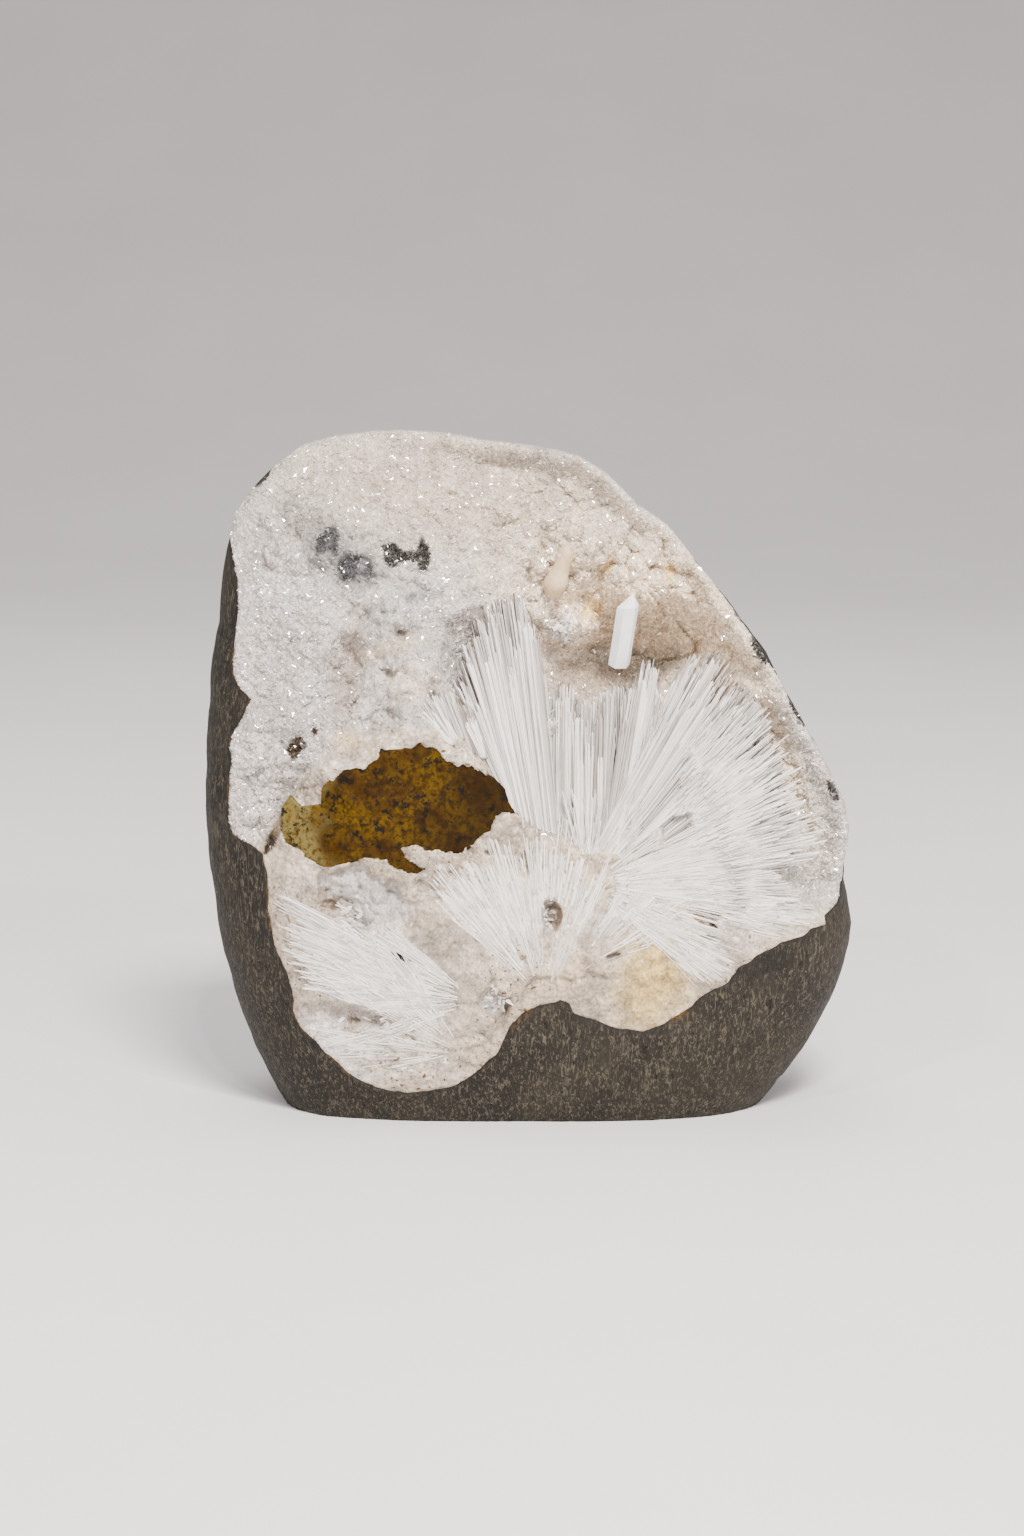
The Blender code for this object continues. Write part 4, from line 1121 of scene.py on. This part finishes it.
def make_crust():
    """The crust as one closed skin."""
    count = 300
    share, angle = disc_grid(count)
    x, z = place(angle, share * crust_radius(angle))
    front = np.stack([x, crust_front(x, z), z], axis=-1).reshape(-1, 3)
    border = square_border(count)
    ring_angle, ring_radius = to_polar(front[border, 0], front[border, 2])
    start_y = front[border, 1]
    layers = []
    for part in (0.35, 0.7, 1.0):
        rough_edge = 0.12 * rough(front[border, 0], start_y + 9 * part, front[border, 2], 1.5, 98)
        rx, rz = place(ring_angle, ring_radius - abs(rough_edge) * (part < 1))
        layers.append(np.stack([rx, start_y + RIM_THICKNESS * part, rz], axis=-1))
    for part in (0.8, 0.55, 0.3, 0.04):
        rx, rz = place(ring_angle, ring_radius * part)
        layers.append(np.stack([rx, bed(rx, rz), rz], axis=-1))
    hub = np.array([[CENTRE[0], bed(*map(np.array, CENTRE)), CENTRE[1]]], dtype=float)
    points = np.vstack([front, *layers, hub])
    quads = rows_of_quads(count, count, False)
    rings = [border] + [len(front) + i * len(border) + np.arange(len(border)) for i in range(len(layers))]
    around = [
        np.stack([near, far, np.roll(far, -1), np.roll(near, -1)], axis=-1)
        for near, far in zip(rings, rings[1:])
    ]
    fan = np.stack([rings[-1], np.full(len(border), len(points) - 1), np.roll(rings[-1], -1)], axis=-1)
    px, pz = points[:, 0], points[:, 2]
    silky, grain = fan_grain(px, pz)
    natural = natural_share(px, pz)
    above_olive = 0.8 * (1 - smooth_step(0.6, 1.0, elliptic(px, pz, -33.0, 76.0, 12.0, 7.0, 0.0)))
    waxy_zone = (1 - natural) * (1 - 0.5 * silky) * smooth_step(-0.6, 0.3, noise_at(px, pz, 12.0, 99))
    waxy_zone = np.maximum(waxy_zone, above_olive)
    floats = {"silky": silky * (1 - natural), "natural": natural, "specks": waxy_zone}
    # Tone with the painted shade and painted light of crust_tone.
    tone = crust_tone(px, pz)
    side = np.arange(len(points)) >= len(front)
    tone[side] = np.array(DRUSE_WHITE) * (1 + 0.25 * rough(*points[side].T, 3.0, 79))[:, None]
    return new_piece(
        "crust", points, [quads, *around, fan], crust_material(), floats, {"grain": grain}, {"tone": tone}
    )


def crust_normal(x, z, step=0.35):
    """Outward direction of the crust's surface."""
    slope_x = (crust_front(x + step, z) - crust_front(x - step, z)) / (2 * step)
    slope_z = (crust_front(x, z + step) - crust_front(x, z - step)) / (2 * step)
    normal = np.stack([slope_x, -np.ones(np.shape(x)), slope_z], axis=-1)
    return normal / np.linalg.norm(normal, axis=-1)[:, None]


def make_druse(name, count, size_low, size_high, tilt, material):
    """Quartz points scattered all over the natural crust."""
    tried = count * 4
    angle = random.uniform(-np.pi, np.pi, tried)
    share = np.sqrt(random.uniform(0, 1, tried))
    x, z = place(angle, share * (crust_radius(angle) - 0.2))
    keep = druse_share(x, z) > random.uniform(0.3, 0.95, tried)
    keep &= olive_distance(x, z) > 0.3
    keep &= random.uniform(0, 1, tried) > 0.8 * spots(x, z, LUMPY[:1])
    x, z = x[keep][:count], z[keep][:count]
    normal = crust_normal(x, z)
    size = size_low + (size_high - size_low) * random.beta(1.5, 3.0, len(x))
    foot = np.stack([x, crust_front(x, z), z], axis=-1) - normal * (0.06 * size)[:, None]
    axis = normal + random.normal(0, tilt, (len(x), 3))
    points, faces = quartz_points(foot, axis, size * random.uniform(0.07, 0.5, len(x)), 0.72 * size)
    # Each point takes the crust's tone below it, painted shade and painted light included.
    tone = np.repeat(crust_tone(x, z), POINT_CORNERS, axis=0)
    tint = np.repeat(random.uniform(0, 1, len(x)), POINT_CORNERS)
    points[:, 2] = np.minimum(points[:, 2], cad_high.z / UNIT - BOX_MARGIN)
    return new_piece(name, points, [faces], material, {"tint": tint}, None, {"tone": tone}, smooth=False)


def along(line, share):
    """Points at shares of the way along a line, each stretch taking an equal share."""
    line = np.array(line)
    at = np.asarray(share) * (len(line) - 1)
    return np.stack([np.interp(at, np.arange(len(line)), line[:, i]) for i in (0, 1)], axis=-1)


def make_sheaf(name, roots, tips, clumps, each, thickness, layers, root_depth, tip_depth, material):
    """One spray: clumps of parallel needles, each clump broken off at its own height."""
    clump = np.repeat(np.arange(clumps), each)
    count = len(clump)
    share = ((np.arange(clumps) + random.uniform(0, 1, clumps)) / clumps)[clump]
    own = random.uniform(0, 1, (clumps, 6))[clump]
    root, tip = along(roots, share), along(tips, share)
    tip = tip + (along(tips, np.clip(share + 0.03, 0, 1)) - tip) * (own[:, :1] - 0.5)
    behind = own[:, 1] ** 0.8
    short = 0.42 * own[:, 2] ** 1.9 * (1 - 0.6 * behind) + 0.12 * random.uniform(0, 1, count) ** 2
    short += np.where(random.uniform(0, 1, count) < 0.14, random.uniform(0.05, 0.45, count), 0)
    spread = random.normal(0, 1.0, (count, 2)) * 1.9 * thickness
    run = tip - root
    across = np.stack([run[:, 1], -run[:, 0]], axis=-1) / np.linalg.norm(run, axis=1)[:, None]
    root_xz = root + across * spread[:, :1] * 0.6
    splay = spread[:, :1] * 1.25 + random.normal(0, 0.45, (count, 1))
    tip_xz = root + run * (1 - short)[:, None] + across * splay
    face_root, face_tip = ground_face(*root_xz.T), ground_face(*tip_xz.T)
    root_y = face_root + np.maximum(0.6, root_depth + 0.6 * layers * behind + spread[:, 1])
    depth = tip_depth + layers * behind + spread[:, 1] + random.normal(0, 0.2, count)
    tip_y = face_tip + np.maximum(0.4, depth)
    foot = np.stack([root_xz[:, 0], root_y, root_xz[:, 1]], axis=-1)
    end = np.stack([tip_xz[:, 0], tip_y, tip_xz[:, 1]], axis=-1)
    wide = thickness * np.exp(random.normal(-0.05, 0.5, count).clip(-1.0, 1.2))
    roll = 1.2 * own[:, 3] + random.normal(0, 0.3, count)
    shape = crystals_between(
        foot, end, wide, wide * random.uniform(0.4, 0.9, count), roll,
        wide * random.uniform(0.5, 4.0, count), wide * random.uniform(0.0, 1.6, count)
    )
    # Random tint, darker for needles further behind: painted shade on the back layers.
    tint = np.clip(0.55 * own[:, 4] + 0.5 * random.uniform(0, 1, count) + 0.3 - 0.75 * behind, 0, 1)
    return needles(f"scolecite_{name}", shape, material, tint)


def make_shards(material):
    """Tangles of broken needles that lie in the crust's small hollows."""
    feet, axes, lengths = [], [], []
    for x, z, spread, count, length, turn, turn_spread in SHARDS:
        px, pz = random.normal((x, z), 0.5 * spread, (count, 2)).T
        angle = np.radians(random.normal(turn, turn_spread, count))
        out = random.uniform(-0.55, 0.15, count)
        axis = np.stack([np.cos(angle), out, np.sin(angle)], axis=-1)
        own = length * random.uniform(0.35, 1.0, count)
        middle = np.stack([px, crust_front(px, pz) + 0.1, pz], axis=-1)
        foot = middle - axis * (0.5 * own)[:, None]
        reach = foot[:, 1] + axis[:, 1] * own
        foot[:, 1] += np.maximum(0, ground_face(px, pz) + 0.3 - reach)
        feet.append(foot)
        axes.append(axis)
        lengths.append(own)
    foot, axis, length = np.vstack(feet), np.vstack(axes), np.concatenate(lengths)
    count = len(foot)
    wide = random.uniform(0.16, 0.5, count)
    shape = crystals(
        foot, axis, length, wide, 0.6 * wide, random.uniform(0, 3, count),
        wide * random.uniform(0.4, 2, count), 0.5 * wide
    )
    return needles("broken_needles", shape, material, random.uniform(0.2, 1, count))


def make_silk(count, material):
    """Needles ground flush with the face, which give the fans their silky streaks."""
    fans = np.array(GROUND_FANS)
    share = fans[:, 4] ** 2 * (fans[:, 3] - fans[:, 2])
    fan = fans[random.choice(len(fans), count, p=share / share.sum())]
    angle = np.radians(random.uniform(fan[:, 2], fan[:, 3]))
    start = fan[:, 4] * np.sqrt(random.uniform(0.01, 0.95, count))
    length = random.uniform(3.0, 11.0, count)
    bent = angle + random.normal(0, 0.05, count)
    x, z = fan[:, 0] + start * np.cos(angle), fan[:, 1] + start * np.sin(angle)
    end_x, end_z = x + length * np.cos(bent), z + length * np.sin(bent)
    keep = (natural_share(x, z) < 0.3) & (hollow_depth(x, z) < 3.0)
    patchy = (x < 14.0) | (z < 40.0)
    keep &= ~patchy | (noise_at(x, z, 7.0, 84) > random.uniform(-0.5, 0.9, count))
    over_bed = (hollow_depth(end_x, end_z) > 2.0) & (end_z > 50.0)
    keep &= (natural_share(end_x, end_z) < 0.3) | over_bed
    for px, pz in ((x, z), (end_x, end_z), ((x + end_x) / 2, (z + end_z) / 2)):
        keep &= (crust_margin(px, pz) > 0.8) & (olive_distance(px, pz) > 0.6)
        keep &= pit_depth(px, pz) < 0.05
    x, z, end_x, end_z = (part[keep] for part in (x, z, end_x, end_z))
    count = len(x)
    start_y = crust_front(x, z)
    end_y = np.minimum(crust_front(end_x, end_z), ground_face(end_x, end_z) + random.uniform(0.3, 2.5, count))
    middle_y = crust_front((x + end_x) / 2, (z + end_z) / 2)
    forward = np.maximum(0, (start_y + end_y) / 2 - middle_y) - random.uniform(-0.02, 0.06, count)
    foot = np.stack([x, start_y - forward, z], axis=-1)
    end = np.stack([end_x, end_y - forward, end_z], axis=-1)
    wide = SILK_HALF_WIDTH * np.exp(random.normal(0, 0.4, count).clip(-0.8, 0.9))
    shape = crystals_between(foot, end, wide, 0.6 * wide, np.zeros(count), 3 * wide, wide)
    points = shape[0]
    points[:, 1] = np.maximum(points[:, 1], cad_low.y / UNIT + BOX_MARGIN)
    return needles("silky_fans", shape, material, random.uniform(0.35, 1, count) ** 0.7)


def make_prism():
    """The thick prism in front of the hollow. It touches nothing: the wall is 5 mm behind it."""
    points, faces, _ = crystals_between(
        np.array([PRISM_FOOT]), np.array([PRISM_TIP]), np.array([-PRISM_HALF_WIDTH]),
        np.array([-0.8 * PRISM_HALF_WIDTH]), np.array([0.25]), np.array([3.2]), np.array([0.7])
    )
    piece = new_piece("prism", points, faces, prism_material(), smooth=False)
    bevel = piece.modifiers.new("edges", "BEVEL")
    bevel.width = 0.06 * UNIT
    bevel.segments = 2
    bevel.limit_method = "ANGLE"
    return piece


def make_finger():
    """The rounded finger: a turned shape with a soft uneven skin."""
    rows, columns = 40, 48
    (top_x, top_z), (low_x, low_z) = FINGER_ENDS
    middle_x, middle_z = (top_x + low_x) / 2, (top_z + low_z) / 2
    wall = float(crust_front(np.array([middle_x]), np.array([middle_z]))[0])
    long = math.hypot(top_x - low_x, top_z - low_z) / 2
    along_x, along_z = (top_x - low_x) / (2 * long), (top_z - low_z) / (2 * long)
    turn = np.linspace(0, 2 * np.pi, columns, endpoint=False)[None, :]
    height = np.linspace(-1, 1, rows)[:, None] * 0.9999
    sweep = np.sin(height * np.pi / 2)
    girth = FINGER_RADIUS * np.sqrt(1 - sweep**2) ** 0.55
    bulb, knob = np.exp(-(((sweep + 0.55) / 0.45) ** 2)), np.exp(-(((sweep - 0.7) / 0.35) ** 2))
    girth = girth * (0.6 + 0.4 * bulb + 0.16 * knob)
    along_axis = sweep * (long + 0.8 * FINGER_RADIUS)
    out, side = girth * np.sin(turn), girth * np.cos(turn)
    x = middle_x + along_x * along_axis + along_z * side
    z = middle_z + along_z * along_axis - along_x * side
    middle = np.array((middle_x, wall - FINGER_STANDS_OUT, middle_z))
    y = middle[1] + out - 0.4 * sweep
    swell = 1 + 0.06 * rough(x, y, z, 2.2, 120)
    points = (middle + (np.stack([x, y, z], axis=-1) - middle) * swell[..., None]).reshape(-1, 3)
    ends = np.array([points[:columns].mean(axis=0), points[-columns:].mean(axis=0)])
    ring = np.arange(columns)
    low = np.stack([np.roll(ring, -1), ring, np.full(columns, rows * columns)], axis=-1)
    last = (rows - 1) * columns
    high = np.stack([ring + last, np.roll(ring, -1) + last, np.full(columns, rows * columns + 1)], axis=-1)
    faces = [rows_of_quads(rows, columns, True), low, high]
    return new_piece("finger", np.vstack([points, ends]), faces, finger_material())


def make_olive():
    """The olive-brown window, a little behind the ground face, as one closed plate."""
    corners = np.array(OLIVE_OUTLINE)
    low, high = corners.min(axis=0), corners.max(axis=0)
    step = 0.45
    x, z = np.meshgrid(np.arange(low[0], high[0], step), np.arange(low[1], high[1], step))
    inside = outline_distance(x, z, OLIVE_OUTLINE) < -0.35 * step
    grid = np.column_stack([x[inside], z[inside]])
    edge = []
    for a, b in zip(corners, np.roll(corners, -1, axis=0)):
        for part in np.arange(0, 1, step / np.linalg.norm(b - a)):
            edge.append(a + (b - a) * part)
    count = len(edge)
    flat = [Vector(p) for p in [*edge, *grid]]
    borders = [(i, (i + 1) % count) for i in range(count)]
    verts, _, faces, *_ = delaunay_2d_cdt(flat, borders, [], 1, 1e-7)
    places = np.array([tuple(v) for v in verts])
    faces = np.array([tuple(f) for f in faces])
    px, pz = places.T
    skin = 0.16 * rough_at(px, pz, 3.0, 110) + 0.08 * noise_at(px, pz, 1.0, 111)
    top = np.column_stack([px, ground_face(px, pz) + OLIVE_SUNK - 0.25 + skin, pz])
    under = np.column_stack([px, ground_face(px, pz) + OLIVE_SUNK + OLIVE_THICKNESS - 0.1, pz])
    ring = np.arange(count)
    following = (ring + 1) % count
    walls = np.stack([ring, following, following + len(places), ring + len(places)], axis=-1)
    both = np.vstack([top, under])
    floats = {
        "dark": smooth_step(-26.0, -8.0, both[:, 0] + 6 * noise(*both.T, 6.0, 112)),
        "pale": 1 - smooth_step(-44.0, -36.0, both[:, 0] + 4 * noise(*both.T, 4.0, 113)),
    }
    return new_piece("olive", both, [faces, faces[:, ::-1] + len(places), walls], olive_material(), floats)


# The stage

def make_floor():
    """A plain pale sweep: a floor that curves up into a wall behind."""
    half, front, bend_start, bend, top, steps = 4.0, -3.0, 0.9, 1.2, 3.2, 24
    profile = [(front, 0.0)]
    for step in range(steps + 1):
        turn = math.pi / 2 * step / steps
        profile.append((bend_start + bend * math.sin(turn), bend * (1 - math.cos(turn))))
    profile.append((bend_start + bend, top))
    points = [(side * half, y, z) for y, z in profile for side in (-1, 1)]
    faces = [(2 * i, 2 * i + 1, 2 * i + 3, 2 * i + 2) for i in range(len(profile) - 1)]
    mesh = bpy.data.meshes.new("floor")
    mesh.from_pydata(points, [], faces)
    mesh.shade_smooth()
    material, tree, shader = material_named("floor_look")
    cloth = grain_noise(tree, add(tree, "ShaderNodeTexCoord").outputs["Object"], 9.0, 3.0)
    colour = clouded(tree, cloth, 0.3, 0.7, (0.70, 0.672, 0.665), (0.74, 0.712, 0.705))
    wire(tree, shader, Base_Color=colour)
    preset(shader, Roughness=0.6)
    mesh.materials.append(material)
    floor = bpy.data.objects.new("floor", mesh)
    bpy.context.scene.collection.objects.link(floor)


def area_light(name, place_m, aim, size, power, colour=(1.0, 1.0, 1.0)):
    data = bpy.data.lights.new(name, "AREA")
    data.size = size
    data.energy = power
    data.color = colour
    light = bpy.data.objects.new(name, data)
    light.location = place_m
    light.rotation_mode = "QUATERNION"
    light.rotation_quaternion = (Vector(place_m) - Vector(aim)).to_track_quat("Z", "Y")
    bpy.context.scene.collection.objects.link(light)


def light_stage():
    middle = (0.0, 0.0, 0.06)
    area_light("key", (0.20, -0.74, 0.98), middle, 0.26, 29.0, (1.0, 0.96, 0.92))
    area_light("front", (-0.25, -1.15, 0.30), middle, 0.5, 5.0, (1.0, 0.98, 0.96))
    area_light("side", (1.0, -0.3, 0.35), middle, 0.6, 4.0, (1.0, 0.97, 0.95))
    area_light("top", (-0.1, 0.35, 1.0), middle, 0.7, 8.0)
    for number, (x, y, z) in enumerate(((0.02, -0.70, 0.70), (-0.30, -0.62, 0.62), (0.36, -0.60, 0.50))):
        area_light(f"spark_{number}", (x, y, z), middle, 0.03, 2.2)
    world = bpy.data.worlds.new("studio")
    world.use_nodes = True
    back = world.node_tree.nodes["Background"]
    back.inputs["Color"].default_value = (0.80, 0.775, 0.765, 1.0)
    back.inputs["Strength"].default_value = 0.42
    bpy.context.scene.world = world


def make_camera():
    """The photograph's view: from the front, nine degrees above the horizon."""
    elevation, distance, aim = math.radians(9.0), 0.707, Vector((-0.0032, 0.0, 0.064))
    data = bpy.data.cameras.new("camera")
    data.lens = 85.0
    data.sensor_width = 36.0
    data.clip_end = 50.0
    camera = bpy.data.objects.new("camera", data)
    camera.location = aim + Vector((0, -math.cos(elevation), math.sin(elevation))) * distance
    camera.rotation_euler = (math.pi / 2 - elevation, 0, 0)
    bpy.context.scene.collection.objects.link(camera)
    bpy.context.scene.camera = camera


def dress():
    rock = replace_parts(make_rock(), "basalt_block")
    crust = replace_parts(make_crust(), "crystal_crust")
    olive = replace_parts(make_olive(), "olive_window")
    needle = needle_material()
    quartz = druse_material()
    white = [crust, make_prism(), make_finger()]
    white += [make_sheaf(*sheaf, needle) for sheaf in SHEAVES]
    white += [make_druse(*druse, quartz) for druse in DRUSE]
    white.append(make_shards(needle))
    white.append(make_silk(SILK_TRIED, needle))
    for piece, slot in ((rock, "basalt"), (olive, "olive"), *((p, "crystal") for p in white)):
        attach(piece, "root") or piece


make_camera()
dress()
make_floor()
light_stage()
